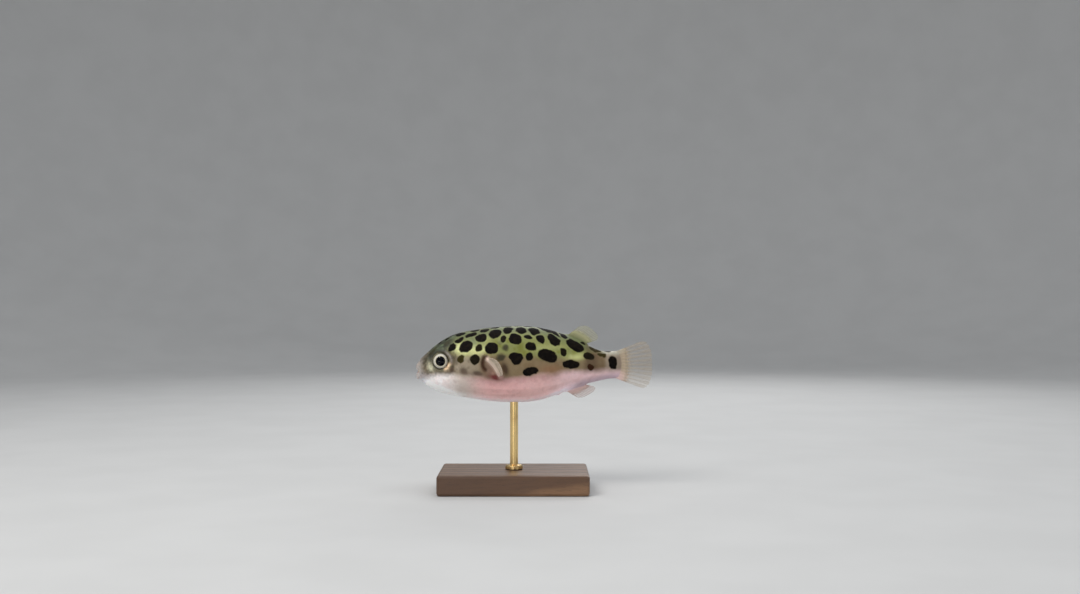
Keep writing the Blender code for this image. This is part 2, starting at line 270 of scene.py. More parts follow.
# ------------------------------------------------------------------ relief of the skin
mirror = np.stack([np.abs(SIDE), U, LEVEL], -1)
on_flank = smooth(np.abs(SIDE), 0.5, 2.0)


def eye_frame():
    """Distance from the eye's axis, and along it, with the opening a little longer than tall."""
    du, dl = (U - EYE[1]) / 1.05, (LEVEL - EYE[2]) / 0.97
    return np.hypot(du, dl), np.arctan2(dl, du)


eye_r, eye_a = eye_frame()
near_eye = (eye_r < 7) & (np.abs(SIDE) > 2.0) & OUTSIDE

GILL_CENTRE, GILL_RADIUS = (22.83, 0.51), 2.75
gill_d = np.hypot(U - GILL_CENTRE[0], LEVEL - GILL_CENTRE[1]) - GILL_RADIUS
gill_a = np.arctan2(LEVEL - GILL_CENTRE[1], GILL_CENTRE[0] - U)
gill_reach = (1 - smooth(np.abs(gill_a - 0.05), 0.72, 1.20)) * on_flank * OUTSIDE



def fin_root(t):
    """The side fin's bowed root; t runs from the bottom to the top."""
    arch = 4 * t * (1 - t) * FIN_BOW
    return (FIN_LOW[0] + (FIN_TOP[0] - FIN_LOW[0]) * t + 0.82 * arch,
            FIN_LOW[1] + (FIN_TOP[1] - FIN_LOW[1]) * t + 0.57 * arch)


def from_fin_root(u, level):
    """Distance to the side fin's root, positive behind it, and the place along it."""
    best, where, behind = np.full(u.shape, 99.0), np.zeros(u.shape), np.ones(u.shape)
    for t in np.linspace(-0.05, 1.05, 23):
        a, b = fin_root(t)
        d = np.hypot(u - a, level - b)
        closer = d < best
        best = np.where(closer, d, best)
        where = np.where(closer, t, where)
        behind = np.where(closer, np.sign((u - a) * 0.82 + (level - b) * 0.57), behind)
    return best * behind, where


root_s, root_t = from_fin_root(U, LEVEL)
root_d = np.abs(root_s)
on_root = on_flank * OUTSIDE


def relief():
    """Displacement along the normal, in millimetres."""
    d = np.zeros(SIDE.shape)
    body = OUTSIDE * smooth(U, 1.2, 4.0)
    # broad forms: jaw muscle, brow over the eye, hollow between the eyes
    d += 0.28 * hump(U, 12.5, 3.2) * hump(LEVEL, -3.0, 3.2) * on_flank * OUTSIDE
    d += 0.34 * np.exp(-((U - 7.9) / 3.2) ** 2 - ((LEVEL - 4.4) / 1.1) ** 2) * on_flank * OUTSIDE
    d -= 0.30 * np.exp(-((U - 6.6) / 3.4) ** 2 - (SIDE / 2.2) ** 2) * (LEVEL > 2) * OUTSIDE
    # flesh at the fin roots
    d += 0.62 * hump(root_s, -0.10, 0.80) * on_root
    d -= 0.14 * hump(root_s, 1.5, 0.5) * on_root
    d -= 0.22 * np.exp(-((U - 22.4) / 0.9) ** 2 - ((LEVEL + 1.4) / 1.5) ** 2) * on_root
    ridge = smooth(U, 43.4, 45.0) * (1 - smooth(U, 49.6, 51.4))
    d += 0.42 * ridge * hump(SIDE, 0, 0.85) * (LEVEL > 0)
    ridge = smooth(U, 43.2, 44.8) * (1 - smooth(U, 49.2, 51.0))
    d += 0.42 * ridge * hump(SIDE, 0, 0.80) * (LEVEL < 0)
    d += 0.40 * hump(U, 42.3, 0.75) * hump(SIDE, 0, 0.6) * (LEVEL < 0)
    # rays' muscle lines beside the two middle fins, running straight across the length
    for sign, front, centre in ((1, 44.6, 6.8), (-1, 44.2, -5.9)):
        fan = np.arctan2(np.abs(SIDE) + 0.001, U - 41.0)
        near = smooth(U, 43.6, 45.4) * (1 - smooth(U, 50.0, 51.5)) * hump(np.abs(SIDE), 1.3, 0.9) * (LEVEL * sign > 0)
        d += 0.035 * near * np.sin(U * 2 * PI / 0.52)
    # gill opening: a dark crescent cut behind a raised lip
    wander = 0.10 * noise(mirror, 1.1, 27)
    d -= 0.38 * hump(gill_d + wander, -0.08, 0.42) * gill_reach
    d += 0.20 * hump(gill_d + wander, 0.72, 0.45) * gill_reach
    d -= 0.12 * hump(gill_d, -0.8, 0.6) * gill_reach
    # lips: the roll, its crease behind, and small creases across
    across = np.sin(np.arctan2(LEVEL - MOUTH_LEVEL, SIDE + 1e-9) * 30 + 2.5 * noise(BASE, 0.8, 5))
    d += 0.014 * across * np.exp(-((U - 0.25) / 0.55) ** 2) * OUTSIDE
    crease = np.exp(-((U - 0.95 - 0.35 * (np.abs(SIDE) / 3.0) ** 2) / 0.28) ** 2) * OUTSIDE
    d -= 0.11 * crease
    d -= 0.10 * np.exp(-((U - 2.1) / 0.35) ** 2) * smooth(-LEVEL, -1, 2.0) * OUTSIDE
    # fold that runs from the corner of the mouth to the cheek
    fold = np.hypot(U - 2.6, (LEVEL + 2.2) * 0.45)
    d -= 0.12 * hump(fold, 1.5, 0.3) * (U > 2.6) * on_flank * OUTSIDE
    # loose belly: long soft folds, and dimples
    loose = smooth(-LEVEL, 3.5, 8.0) * smooth(U, 12, 20) * (1 - smooth(U, 38, 44))
    stretched = np.stack([SIDE * 1.0, U * 0.28, LEVEL * 1.0], -1)
    d += 0.10 * loose * noise(stretched, 0.75, 11, 2)
    d += 0.05 * noise(BASE, 0.45, 3, 2) * body
    # low keel fold along the side of the belly and the tail stalk
    keel = BELLY(np.clip(U, 1.3, STANDARD_LENGTH)) * 0.62
    d += 0.10 * hump(LEVEL, keel, 0.55) * smooth(U, 14, 22) * (1 - smooth(U, 55, 58)) * on_flank
    # prickle texture, too small to see one by one
    d += 0.022 * noise(BASE, 3.1, 21) * body + 0.012 * noise(BASE, 5.6, 22) * body
    return d


def shape_lids(p):
    """Moves the skin along the eye's axis: a soft ring of lid, then down under the ball."""
    noise_r = 0.05 * noise(mirror, 0.9, 31)
    r = eye_r + noise_r
    above = 0.5 + 0.5 * np.sin(eye_a)
    lid = (0.15 + 0.06 * above) * hump(r, EYE_OPENING + 0.50, 0.36)
    lid += 0.07 * hump(r, EYE_OPENING + 1.75, 0.45) * (0.4 + 0.6 * above)
    lid -= (0.10 + 0.05 * above) * hump(r, EYE_OPENING + 1.15, 0.36)
    lid -= 0.26 * (1 - smooth(r, EYE_OPENING - 0.25, EYE_OPENING + 0.75))
    folds = 0.03 * np.sin(eye_a * 22 + 3 * noise(mirror, 0.6, 33)) * hump(r, EYE_OPENING + 0.7, 0.45)
    under = 1.7 * (1 - smooth(r, EYE_OPENING - 0.50, EYE_OPENING + 0.06))
    move = (lid + folds - under) * near_eye
    p = p.copy()
    p[..., 0] += LEFT * move
    return p


SKIN = shape_lids(BASE + NORMAL * relief()[..., None])

# ------------------------------------------------------------------ markings
# Spots of the left flank: (from the snout, level, half length, half height, tilt in
# degrees with the rear end low, 0 for black to 1 for olive brown)
SPOTS = (
    (27.2, 10.30, 1.50, 1.20, 0, 0), (31.2, 10.30, 1.65, 0.85, 0, 0), (35.1, 9.90, 1.65, 1.00, 0, 0),
    (39.0, 10.14, 2.00, 0.68, 8, 0), (23.6, 9.40, 1.60, 1.35, 0, 0), (19.6, 8.05, 1.75, 1.15, -5, 0),
    (16.4, 8.80, 1.90, 0.55, -18, 0.1), (13.1, 7.40, 1.50, 0.68, -22, 0.1), (43.5, 8.50, 1.05, 0.77, 20, 0),
    (15.1, 5.55, 2.08, 1.62, -28, 0), (11.2, 5.35, 0.95, 1.35, 0, 0), (18.9, 5.12, 0.95, 1.05, 0, 0.35),
    (22.6, 5.05, 1.95, 1.65, 0, 0), (25.9, 7.73, 0.90, 1.05, 0, 0.2), (29.5, 7.75, 1.80, 1.50, 0, 0),
    (34.1, 5.50, 1.65, 1.16, 0, 0), (33.3, 8.20, 1.35, 0.72, 0, 0), (36.9, 7.60, 1.30, 1.22, 0, 0),
    (40.8, 7.55, 1.82, 1.72, 0, 0), (43.5, 3.90, 0.98, 1.16, 0, 0.2), (47.0, 5.73, 2.68, 1.53, 25, 0),
    (13.6, 1.90, 1.10, 1.08, 0, 0.85), (17.8, 1.75, 1.45, 1.55, 0, 0.25), (29.6, 2.55, 2.12, 1.15, 0, 0),
    (29.8, 1.75, 1.62, 1.22, 0, 0), (33.7, 2.60, 1.12, 1.15, 0, 0.1), (38.9, 2.83, 2.98, 1.92, 12, 0),
    (33.9, -1.69, 2.25, 1.15, -12, 0), (45.7, 0.29, 2.63, 1.26, 0, 0), (51.2, 2.40, 1.75, 1.00, 0, 0.25),
    (54.9, 2.98, 1.35, 0.68, 0, 0.8), (58.2, 0.58, 1.40, 1.86, 0, 0), (53.2, 4.10, 1.92, 0.5, 14, 0.65), (51.6, -0.75, 1.05, 0.95, 0, 2.0),
)
HEART = (23, 24)              # two entries that make one spot
# Fainter olive or brown marks, same numbers with a strength in the last place
FAINT = (
    (26.6, 5.20, 0.80, 0.95, 0, 0.95), (25.3, 2.45, 1.25, 0.95, -10, 1.0),
    (11.2, -1.05, 0.70, 1.10, 0, 0.80), (14.7, -1.50, 1.15, 0.85, 12, 0.62), (18.7, -2.25, 1.35, 0.62, 8, 0.72),
    (5.2, 3.90, 1.3, 0.7, -45, 0.75), (3.0, 1.2, 0.9, 0.55, -55, 0.7), (25.1, 6.67, 0.69, 0.69, 0, 0.4),
    (9.6, 6.5, 0.9, 0.6, -20, 0.6), (2.9, -0.5, 0.5, 0.9, 10, 0.45),
)
# Small spots on the crown: (from the snout, arc from the middle line, half length, half width)
CROWN_SPOTS = (
    (5.9, 0.2, 0.7, 1.0), (8.3, -0.5, 0.8, 0.9), (10.6, 0.5, 0.95, 1.4),
    (9.2, 3.0, 0.7, 0.8), (9.4, -3.1, 0.7, 0.8), (7.0, 2.6, 0.6, 0.6), (6.8, -2.7, 0.6, 0.6),
)


def random_steps(count, seed):
    rng = np.random.default_rng(seed)
    return rng.uniform(-1, 1, (count, 6))


def flank_spot(u, level, half_length, half_height, tilt, tint, side):
    """Centre on the flank and the spot's two half axes as tangent directions."""
    x = body_side(u, level)
    e = 0.05
    along = np.array([body_side(u + e, level) - body_side(u - e, level), 2 * e, 0.0])
    down = np.array([body_side(u, level - e) - body_side(u, level + e), 0.0, -2 * e])
    along /= np.linalg.norm(along)
    down /= np.linalg.norm(down)
    stretch = min(1 / max(abs(down[2]), 1e-3), 1.3 * half_length / half_height if half_height < half_length else 1.3)
    t = math.radians(tilt)
    first = math.cos(t) * along + math.sin(t) * down
    second = -math.sin(t) * along + math.cos(t) * down
    centre = np.array([x, u, level])
    for v in (centre, first, second):
        v[0] *= side
    return centre, first, second, half_length, half_height * max(1.0, stretch), tint


def all_spots():
    """Every marked spot, and a number that spots drawn as one shape share."""
    found, group = [], []
    joined = {s: k for k, s in enumerate(SPOTS)}
    joined[SPOTS[HEART[1]]] = HEART[0]
    for s in SPOTS:
        found.append(flank_spot(*s, 1))
        group.append(joined[s])
    for s, r in zip(SPOTS, random_steps(len(SPOTS), 4)):
        u, level, a, b, tilt, tint = s
        if u < 57:
            u, level = u + 0.75 * r[0] + 0.5, level + 0.6 * r[1] * (level < 8)
        a, b = a * (1 + 0.16 * r[2]), b * (1 + 0.16 * r[3])
        level = min(level, float(BACK(u)) - 0.5)
        found.append(flank_spot(u, level, a, b, tilt + 20 * r[4], tint, -1))
        group.append(100 + joined[s])
    for u, s, a, b in CROWN_SPOTS:
        level = float(BACK(u)) - 0.02
        e = 0.2
        slope = float(BACK(u + e) - BACK(u - e)) / (2 * e)
        along = np.array([0.0, 1.0, slope])
        along /= np.linalg.norm(along)
        across = np.array([1.0, 0.0, 0.0])
        found.append((np.array([s, u, level]), along, across, a, b, 0.05))
        group.append(200 + len(found))
    return found, group


warp = np.stack([noise(BASE, 0.55, 40 + k, 2) for k in range(3)], -1) * 0.42 \
    + np.stack([noise(BASE, 1.6, 50 + k) for k in range(3)], -1) * 0.10
WARPED = BASE + warp
NET = 0.42                    # least width of the pale net between two spots


def one_spot(spot_, points, depth=2.6):
    """Distance to a spot's edge, negative inside."""
    centre, first, second, a, b, _ = spot_
    d = points - centre
    x, y = d @ first, d @ second
    z = np.maximum(np.abs(d @ np.cross(first, second)) - 0.8, 0) / depth
    q = ((np.abs(x) / a) ** 2.2 + (np.abs(y) / b) ** 2.2) ** (1 / 2.2)
    slope = np.sqrt(x * x / a ** 4 + y * y / b ** 4 + 1e-6) / np.maximum(q, 0.05)
    return (q - 1) / np.maximum(slope, 0.25) + z * z


def spot_distance(spots, groups, points):
    """Distances to the nearest spot and to the next one of another shape, and the nearest's number."""
    best, second = np.full(points.shape[:-1], 9.0), np.full(points.shape[:-1], 9.0)
    which, shape = np.zeros(points.shape[:-1], int), np.full(points.shape[:-1], -1)
    for k, (s, g) in enumerate(zip(spots, groups)):
        e = one_spot(s, points)
        closer, other = e < best, shape != g
        second = np.where(closer & other, best, np.where(other, np.minimum(second, e), second))
        best = np.where(closer, e, best)
        which = np.where(closer, k, which)
        shape = np.where(closer, g, shape)
    return best, second, which


def fill_gaps(spots, groups, best):
    """Adds spots where the net of the back is widest, away from the drawn flank."""
    top = BACK(np.clip(U, 1.3, STANDARD_LENGTH))
    low = np.interp(U, [8, 14, 24, 32, 42, 48, 54], [5.6, 4.4, 3.8, 3.2, 2.8, 2.6, 3.6])
    room = (U > 12.0) & (U < 56.5) & (LEVEL > np.where(SIDE > 0, top - np.interp(U, [12, 20, 42, 56], [1.1, 1.3, 1.3, 0.5]), low))
    room &= ~((U > 43.5) & (U < 51.5) & (np.abs(SIDE) < 1.3))
    steps = random_steps(200, 12)
    for k in range(200):
        free = np.where(room, best, 0.0)
        at = np.unravel_index(np.argmax(free), free.shape)
        gap = float(free[at])
        if gap < 1.02:
            break
        i, j = at
        along = BASE[i + 1, j] - BASE[i - 1, j]
        across = BASE[i, (j + 1) % AROUND] - BASE[i, j - 1]
        along, across = along / np.linalg.norm(along), across / np.linalg.norm(across)
        across = across - along * float(across @ along)
        across /= np.linalg.norm(across)
        size = min(gap - 0.42, 1.25) * (1 + 0.10 * steps[k, 0])
        s = (BASE[i, j], along, across, size * (1.12 + 0.12 * steps[k, 1]), size * (0.98 + 0.10 * steps[k, 2]), 0.1)
        spots.append(s)
        groups.append(400 + k)
        best = np.minimum(best, one_spot(s, BASE))


ALL_SPOTS, GROUPS = all_spots()
fill_gaps(ALL_SPOTS, GROUPS, spot_distance(ALL_SPOTS, GROUPS, BASE)[0])
spot, beside, which = spot_distance(ALL_SPOTS, GROUPS, WARPED)
spot = np.maximum(spot, NET - (beside - spot))
spot = np.where(OUTSIDE, spot, 9.0)
spot_tint = np.array([s[5] for s in ALL_SPOTS])[which]
faint_list = [flank_spot(*s, side) for s in FAINT for side in (1, -1)]
faint, beside, which = spot_distance(faint_list, [0] * len(faint_list), WARPED)
faint_amount = (1 - smooth(faint, -0.45, 0.40)) * np.array([s[5] for s in faint_list])[which] * OUTSIDE


def mix(a, b, t):
    return a * (1 - t[..., None]) + np.asarray(b, float) * t[..., None]


def ground_colour():
    """The skin's colour without its spots, as linear red, green and blue."""
    top = BACK(np.clip(U, 1.3, STANDARD_LENGTH))
    wave = 0.7 * noise(BASE, 0.32, 60, 2)
    fine = noise(BASE, 1.1, 61, 2)
    blotch = noise(BASE, 0.55, 62, 2)
    under_top = LEVEL - top
    c = np.zeros(SIDE.shape + (3,)) + np.array([0.196, 0.142, 0.076])
    c = mix(c, [0.155, 0.104, 0.050], 0.6 * smooth(blotch, 0.0, 0.5))
    # yellow-green of the back, palest just above the flank, olive along the top
    low = np.interp(U, [8, 14, 24, 32, 42, 48, 52], [4.2, 3.2, 3.2, 2.7, 2.2, 1.6, 3.4])
    back = smooth(LEVEL + wave * 0.8, low - 1.3, low + 1.3)
    c = mix(c, [0.200, 0.216, 0.070], back)
    vivid = smooth(blotch, -0.05, 0.45) * back * (1 - smooth(under_top, -4.5, -2.0))
    c = mix(c, [0.150, 0.158, 0.018], 0.75 * vivid)
    c = mix(c, [0.125, 0.132, 0.010], 0.9 * np.exp(-((U - 31.1) / 1.3) ** 2 - ((LEVEL - 5.3) / 1.6) ** 2))
    c = mix(c, [0.110, 0.130, 0.058], 0.80 * smooth(under_top + wave, -3.4, -0.8) * back)
    pale = np.exp(-((U - 16.2) / 4.2) ** 2 - ((LEVEL - 3.9 + 0.10 * (U - 16)) / 1.7) ** 2)
    pale += 0.9 * np.exp(-((U - 12.9) / 0.85) ** 2 - ((LEVEL - 5.2) / 1.5) ** 2)
    pale += 0.95 * np.exp(-((U - 47.5) / 2.6) ** 2 - ((LEVEL - 2.3) / 0.9) ** 2)
    pale += 0.28 * np.exp(-((U - 38.0) / 5.0) ** 2 - ((LEVEL - 5.2) / 1.0) ** 2)
    pale += 0.60 * np.exp(-((U - 20.1) / 1.5) ** 2 - ((LEVEL - 4.5) / 1.1) ** 2)
    pale += 0.30 * np.exp(-((U - 21.6) / 1.2) ** 2 - ((LEVEL - 7.1) / 1.0) ** 2)
    c = mix(c, [0.63, 0.64, 0.29], 0.86 * np.clip(pale, 0, 1) * (0.75 + 0.25 * smooth(-blotch, -0.3, 0.3)))
    dim = np.exp(-((U - 17.2) / 1.1) ** 2 - ((LEVEL - 7.1) / 0.9) ** 2)
    c = mix(c, [0.115, 0.140, 0.080], 0.65 * dim)
    # brown stalk
    stalk = smooth(U + wave, 48.8, 51.2) * (1 - smooth(U + 0.4 * wave, 55.0, 56.6)) * smooth(LEVEL, -2.9, -1.9)
    c = mix(c, [0.098, 0.058, 0.028], 0.90 * stalk * (1 - 0.35 * smooth(LEVEL, 2.5, 4)) * (1 - 0.45 * smooth(U, 52.6, 54.6)))
    warm = hump(U, 39.8, 3.4) * hump(LEVEL, -1.2, 1.5)
    c = mix(c, [0.25, 0.122, 0.058], 0.7 * warm)
    rear = hump(U, 37.3, 1.9) * hump(LEVEL, -2.9, 0.9)
    c = mix(c, [0.36, 0.235, 0.175], 0.8 * rear)
    pale_tail = smooth(U, 55.4, 56.8) * (1 - 0.2 * smooth(LEVEL, 2, 4))
    c = mix(c, [0.29, 0.23, 0.18], 0.80 * pale_tail)
    soot = hump(LEVEL, -2.6, 0.9) * smooth(U, 55.5, 57.5)
    c = mix(c, [0.20, 0.15, 0.14], 0.5 * soot)
    edging = hump(under_top, -0.2, 0.9) * smooth(U, 54.2, 56.6)
    c = mix(c, [0.52, 0.50, 0.42], 0.7 * edging)
    # head: grey-beige cheek, grey snout, dark crown
    cheek = hump(U, 15.4, 4.4) * smooth(LEVEL, -4.2, -2.2) * (1 - smooth(LEVEL, 1.2, 3.6))
    c = mix(c, [0.300, 0.250, 0.185], 0.80 * cheek)
    c = mix(c, [0.140, 0.105, 0.068], 0.70 * cheek * smooth(blotch, 0.0, 0.4))
    head = 1 - smooth(U + 0.5 * LEVEL + wave, 8.5, 12.5)
    c = mix(c, [0.155, 0.130, 0.090], 0.88 * head)
    behind = np.exp(-((U - 11.2) / 1.4) ** 2 - ((LEVEL - 1.6) / 2.4) ** 2)
    c = mix(c, [0.062, 0.050, 0.030], 0.85 * behind)
    crown = (1 - smooth(U + 0.5 * wave - 0.8 * np.maximum(4 - np.abs(SIDE), 0), 9.8, 13.2)) * smooth(under_top + wave * 0.6, -5.2, -2.6) * smooth(U, 2.6, 5.6)
    crown *= 1 - smooth(hump(U, 12.6, 1.0) * hump(LEVEL, 5.2, 1.8), 0.4, 0.8)
    c = mix(c, [0.028, 0.032, 0.022], 0.92 * crown)
    c = mix(c, [0.120, 0.155, 0.088], 0.75 * crown * smooth(blotch, 0.05, 0.40))
    front_dark = np.exp(-((U - 5.0) / 1.3) ** 2 - ((LEVEL - 2.7) / 1.2) ** 2)
    c = mix(c, [0.032, 0.042, 0.044], 0.90 * front_dark)
    tip = (1 - smooth(U, 2.6, 4.6)) * smooth(LEVEL, -0.2, 1.0)
    c = mix(c, [0.095, 0.080, 0.058], 0.65 * tip)
    # belly
    edge = np.interp(U, [0, 2.6, 4.5, 6.1, 9.7, 11.8, 14.8, 18.5, 22.7, 25, 28, 30.6, 35.2, 38, 40.2, 43.4, 46,
                         49.2, 53.4, 56, 58, 61],
                     [-3.3, -3.3, -3.1, -2.8, -2.5, -2.5, -2.9, -3.2, -3.75, -3.9, -3.45, -3.2, -2.75, -2.7, -2.65,
                      -1.85, -1.55, -1.85, -2.0, -1.6, -1.9, -1.9])
    wide = np.interp(U, [0, 8, 12, 16, 19, 22, 25, 32, 38, 43, 47, 53, 61],
                     [1.2, 1.0, 0.9, 1.1, 1.3, 0.85, 0.65, 0.8, 1.2, 1.1, 0.9, 1.2, 1.0])
    depth = edge - LEVEL + 0.30 * wave + 0.12 * fine
    into = smooth(depth, -wide, wide * 1.15)
    throat = np.array([0.92, 0.87, 0.875])
    pink = np.array([0.76, 0.485, 0.475])
    rearbelly = np.array([0.76, 0.54, 0.56])
    beige = np.array([0.58, 0.50, 0.455])
    belly = throat + (beige - throat) * smooth(U + 0.5 * wave, 7.0, 14.5)[..., None]
    belly = belly + (pink - belly) * smooth(U + wave, 14, 22)[..., None]
    belly = belly + (rearbelly - belly) * smooth(U, 38, 46)[..., None]
    blush = hump(U, 26, 8) * hump(LEVEL, -6.0, 2.4)
    belly = belly * (1 - 0.12 * blush[..., None] * np.array([0.25, 1.0, 0.95]))
    pale_keel = smooth(BELLY(np.clip(U, 1.3, STANDARD_LENGTH)) - LEVEL, -2.6, -0.4)
    behind_vent = smooth(U, 43.5, 49.0)
    belly = belly * (1 + 0.50 * (pale_keel * (1 - behind_vent))[..., None] * np.array([0.9, 1.3, 1.55]))
    belly = belly * (1 - 0.30 * (pale_keel * behind_vent)[..., None] * np.array([1.1, 1.0, 0.7]))
    high = hump(depth, 0.55, 1.35) * smooth(U, 13, 18) * (1 - 0.90 * smooth(U, 40, 45))
    belly = belly * (1 - 0.36 * (high * (0.8 + 0.2 * smooth(blotch, -0.3, 0.3)))[..., None] * np.array([0.9, 1.0, 1.0]))
    c = c * (1 - into[..., None]) + belly * into[..., None]
    lilac = hump(depth, 0.2, 0.9) * (1 - smooth(U, 4, 7))
    c = mix(c, [0.30, 0.26, 0.26], 0.45 * lilac)
    rim = hump(depth, -0.75, 0.60) * smooth(U, 12.5, 15) * (1 - smooth(U, 22, 27)) * (0.65 + 0.35 * smooth(blotch, -0.3, 0.3))
    c = mix(c, [0.110, 0.062, 0.046], 0.60 * rim)
    # pale patch before the eye, lips and chin
    before = np.exp(-((U - 4.9) / 1.05) ** 2 - ((LEVEL + 0.45) / 1.25) ** 2 - ((U - 4.9) * (LEVEL + 0.45)) * 0.25)
    c = mix(c, [0.66, 0.64, 0.46], 0.92 * np.clip(before * 1.15, 0, 1))
    chin = (1 - smooth(U, 1.8, 4.2)) * (1 - smooth(LEVEL, -3.2, -1.4))
    c = mix(c, [0.26, 0.225, 0.24], 0.65 * chin)
    front = U - 0.35 * (np.abs(SIDE) / 3) ** 2 + 0.25 * wave
    lips = 1 - smooth(front + 0.25 * fine, 0.1, 2.5)
    c = mix(c, [0.50, 0.455, 0.435], 0.84 * lips)
    inner = np.array([0.50, 0.455, 0.435]) + (np.array([0.30, 0.13, 0.11]) - np.array([0.50, 0.455, 0.435])) \
        * smooth(U - 1.05 * (SIDE / 2.1) ** 2, 0.03, 0.40)[..., None]
    c = np.where(OUTSIDE[..., None], c, inner)
    # gill opening, with painted shade in its slit, and the flesh about the side fin
    gill = gill_d + 0.10 * noise(mirror, 1.1, 27)
    near = np.exp(-((U - 21.5) / 1.6) ** 2 - ((LEVEL + 0.2) / 2.8) ** 2) * on_flank * OUTSIDE
    c = mix(c, [0.205, 0.125, 0.090], 0.70 * near)
    under = np.exp(-((U - 22.7) / 1.2) ** 2 - ((LEVEL + 1.7) / 1.6) ** 2) * (root_s < 0) * on_root
    c = mix(c, [0.190, 0.105, 0.080], 0.80 * under)
    # painted shade of the gill slit: a broad dark halo, then a darker core where the slit is recessed
    gill_slit_shade = np.clip(hump(gill, -0.10, 0.78) * gill_reach * 1.2, 0, 1)
    c = mix(c, [0.080, 0.042, 0.024], 0.78 * gill_slit_shade)
    c = mix(c, [0.034, 0.013, 0.008], 0.70 * np.clip(hump(gill, -0.08, 0.34) * gill_reach * 1.1, 0, 1))
    # pale flesh of the side fin's root, partly its own colour and partly a painted highlight on its lit ridge
    flesh = hump(root_s, -0.05, 0.62) * on_root
    c = mix(c, [0.80, 0.63, 0.53], 0.85 * flesh)
    foot = np.exp(-((U - 25.4) / 0.9) ** 2 - ((LEVEL + 3.6) / 0.9) ** 2) * on_root
    c = mix(c, [0.52, 0.32, 0.29], 0.8 * foot)
    red = np.exp(-((U - 23.9) / 1.65) ** 2 - ((LEVEL + 3.35) / 0.90) ** 2 - 0.30 * (U - 23.9) * (LEVEL + 3.35)) * on_root
    c = mix(c, [0.115, 0.014, 0.014], 0.97 * np.clip(red * 1.35, 0, 1) * (1 - 0.45 * flesh))
    nub = np.exp(-((U - 23.1) / 0.55) ** 2 - ((LEVEL + 2.15) / 0.5) ** 2) * on_root
    c = mix(c, [0.32, 0.185, 0.14], 0.7 * nub)
    shade = np.exp(-((U - 26.6 + 0.28 * (LEVEL + 0.9)) / 0.95) ** 2 - ((LEVEL + 0.9) / 1.8) ** 2) * on_flank * OUTSIDE
    c = mix(c, [0.050, 0.024, 0.010], 0.93 * np.clip(shade * 1.35, 0, 1))
    light = np.exp(-((U - 12.9) / 0.95) ** 2 - ((LEVEL + 0.65) / 0.85) ** 2)
    c = mix(c, [0.40, 0.34, 0.265], 0.55 * light * on_flank * OUTSIDE)
    smudge = np.exp(-((U - 14.5) / 1.15) ** 2 - ((LEVEL + 1.20) / 0.90) ** 2) * (0.7 + 0.5 * smooth(blotch, -0.2, 0.3))
    smudge += 0.85 * np.exp(-((U - 18.4) / 0.95) ** 2 - ((LEVEL + 2.05) / 0.60) ** 2)
    smudge += 0.60 * np.exp(-((U - 10.9) / 1.00) ** 2 - ((LEVEL + 1.25) / 0.80) ** 2)
    smudge += 1.10 * np.exp(-((U - 20.4) / 0.70) ** 2 - ((LEVEL - 2.35) / 0.75) ** 2)
    c = mix(c, [0.060, 0.032, 0.018], 0.74 * np.clip(smudge, 0, 1) * OUTSIDE)
    # round the eye: dusky ring, a painted highlight along the upper lid, a warm corner low behind
    ring = near_eye * hump(eye_r, EYE_OPENING + 0.30, 0.55)
    c = mix(c, [0.105, 0.098, 0.055], 0.65 * ring)
    brow = near_eye * hump(eye_r, EYE_OPENING + 0.70, 0.75) * smooth(np.cos(eye_a - 1.9), 0.1, 0.7)
    c = mix(c, [0.040, 0.040, 0.032], 0.75 * brow)
    # painted highlight: a pale line along the upper lid, where light catches its edge
    lid = near_eye * hump(eye_r, EYE_OPENING + 0.62, 0.36) * smooth(np.cos(eye_a - 0.35), 0.55, 0.95)
    c = mix(c, [0.25, 0.215, 0.195], 0.75 * lid)
    corner = near_eye * hump(eye_r, EYE_OPENING + 0.20, 0.66) * smooth(np.cos(eye_a + 0.68), 0.78, 0.97)
    c = mix(c, [0.78, 0.57, 0.37], 0.95 * corner)
    # pale net hugging the dark spots of the back
    halo = (1 - smooth(spot, 0.12, 0.65)) * back * (1 - smooth(under_top, -2.5, -0.5))
    c = c * (1 + 0.14 * halo[..., None])
    c = c * (1 + 0.06 * fine[..., None])
    pepper = noise(BASE, 1.9, 66, 2)
    face = (1 - smooth(U, 11, 16)) * OUTSIDE * (1 - 0.75 * into)
    c = c * (1 - 0.34 * (smooth(pepper, 0.12, 0.50) * face)[..., None])
    c = c * (1 + 0.22 * (smooth(-pepper, 0.18, 0.55) * face)[..., None])
    c = c * (1 - 0.10 * (smooth(noise(BASE, 0.9, 67, 2), 0.0, 0.5) * into)[..., None] * np.array([0.6, 1.0, 1.0]))
    olive = np.array([0.034, 0.028, 0.010])
    rust = np.array([0.060, 0.034, 0.020])
    low = smooth(-LEVEL, 0.2, 0.8)[..., None]
    c = c * (1 - faint_amount[..., None]) + (olive * (1 - low) + rust * low) * faint_amount[..., None]
    return np.clip(c, 0.0, 0.95), into


GROUND, INTO_BELLY = ground_colour()


# ------------------------------------------------------------------ mesh helpers
def add_object(name, verts, faces, smooth_shade=True):
    mesh = bpy.data.meshes.new(name)
    mesh.from_pydata([tuple(v) for v in np.asarray(verts, float)], [], [tuple(f) for f in faces])
    mesh.update()
    if smooth_shade:
        mesh.shade_smooth()
    o = bpy.data.objects.new(name, mesh)
    bpy.context.scene.collection.objects.link(o)
    return o


def point_value(o, name, values):
    a = o.data.attributes.new(name, 'FLOAT', 'POINT')
    a.data.foreach_set("value", np.ascontiguousarray(values, np.float32).ravel())


def point_colour(o, name, values):
    a = o.data.attributes.new(name, 'FLOAT_COLOR', 'POINT')
    rgba = np.ones((len(values), 4), np.float32)
    rgba[:, :3] = values
    a.data.foreach_set("color", rgba.ravel())


def grid_faces(rows, cols, wrap):
    i, j = np.meshgrid(np.arange(rows - 1), np.arange(cols if wrap else cols - 1), indexing="ij")
    a = i * cols + j
    b = i * cols + (j + 1) % cols
    return np.stack([a, b, b + cols, a + cols], -1).reshape(-1, 4)


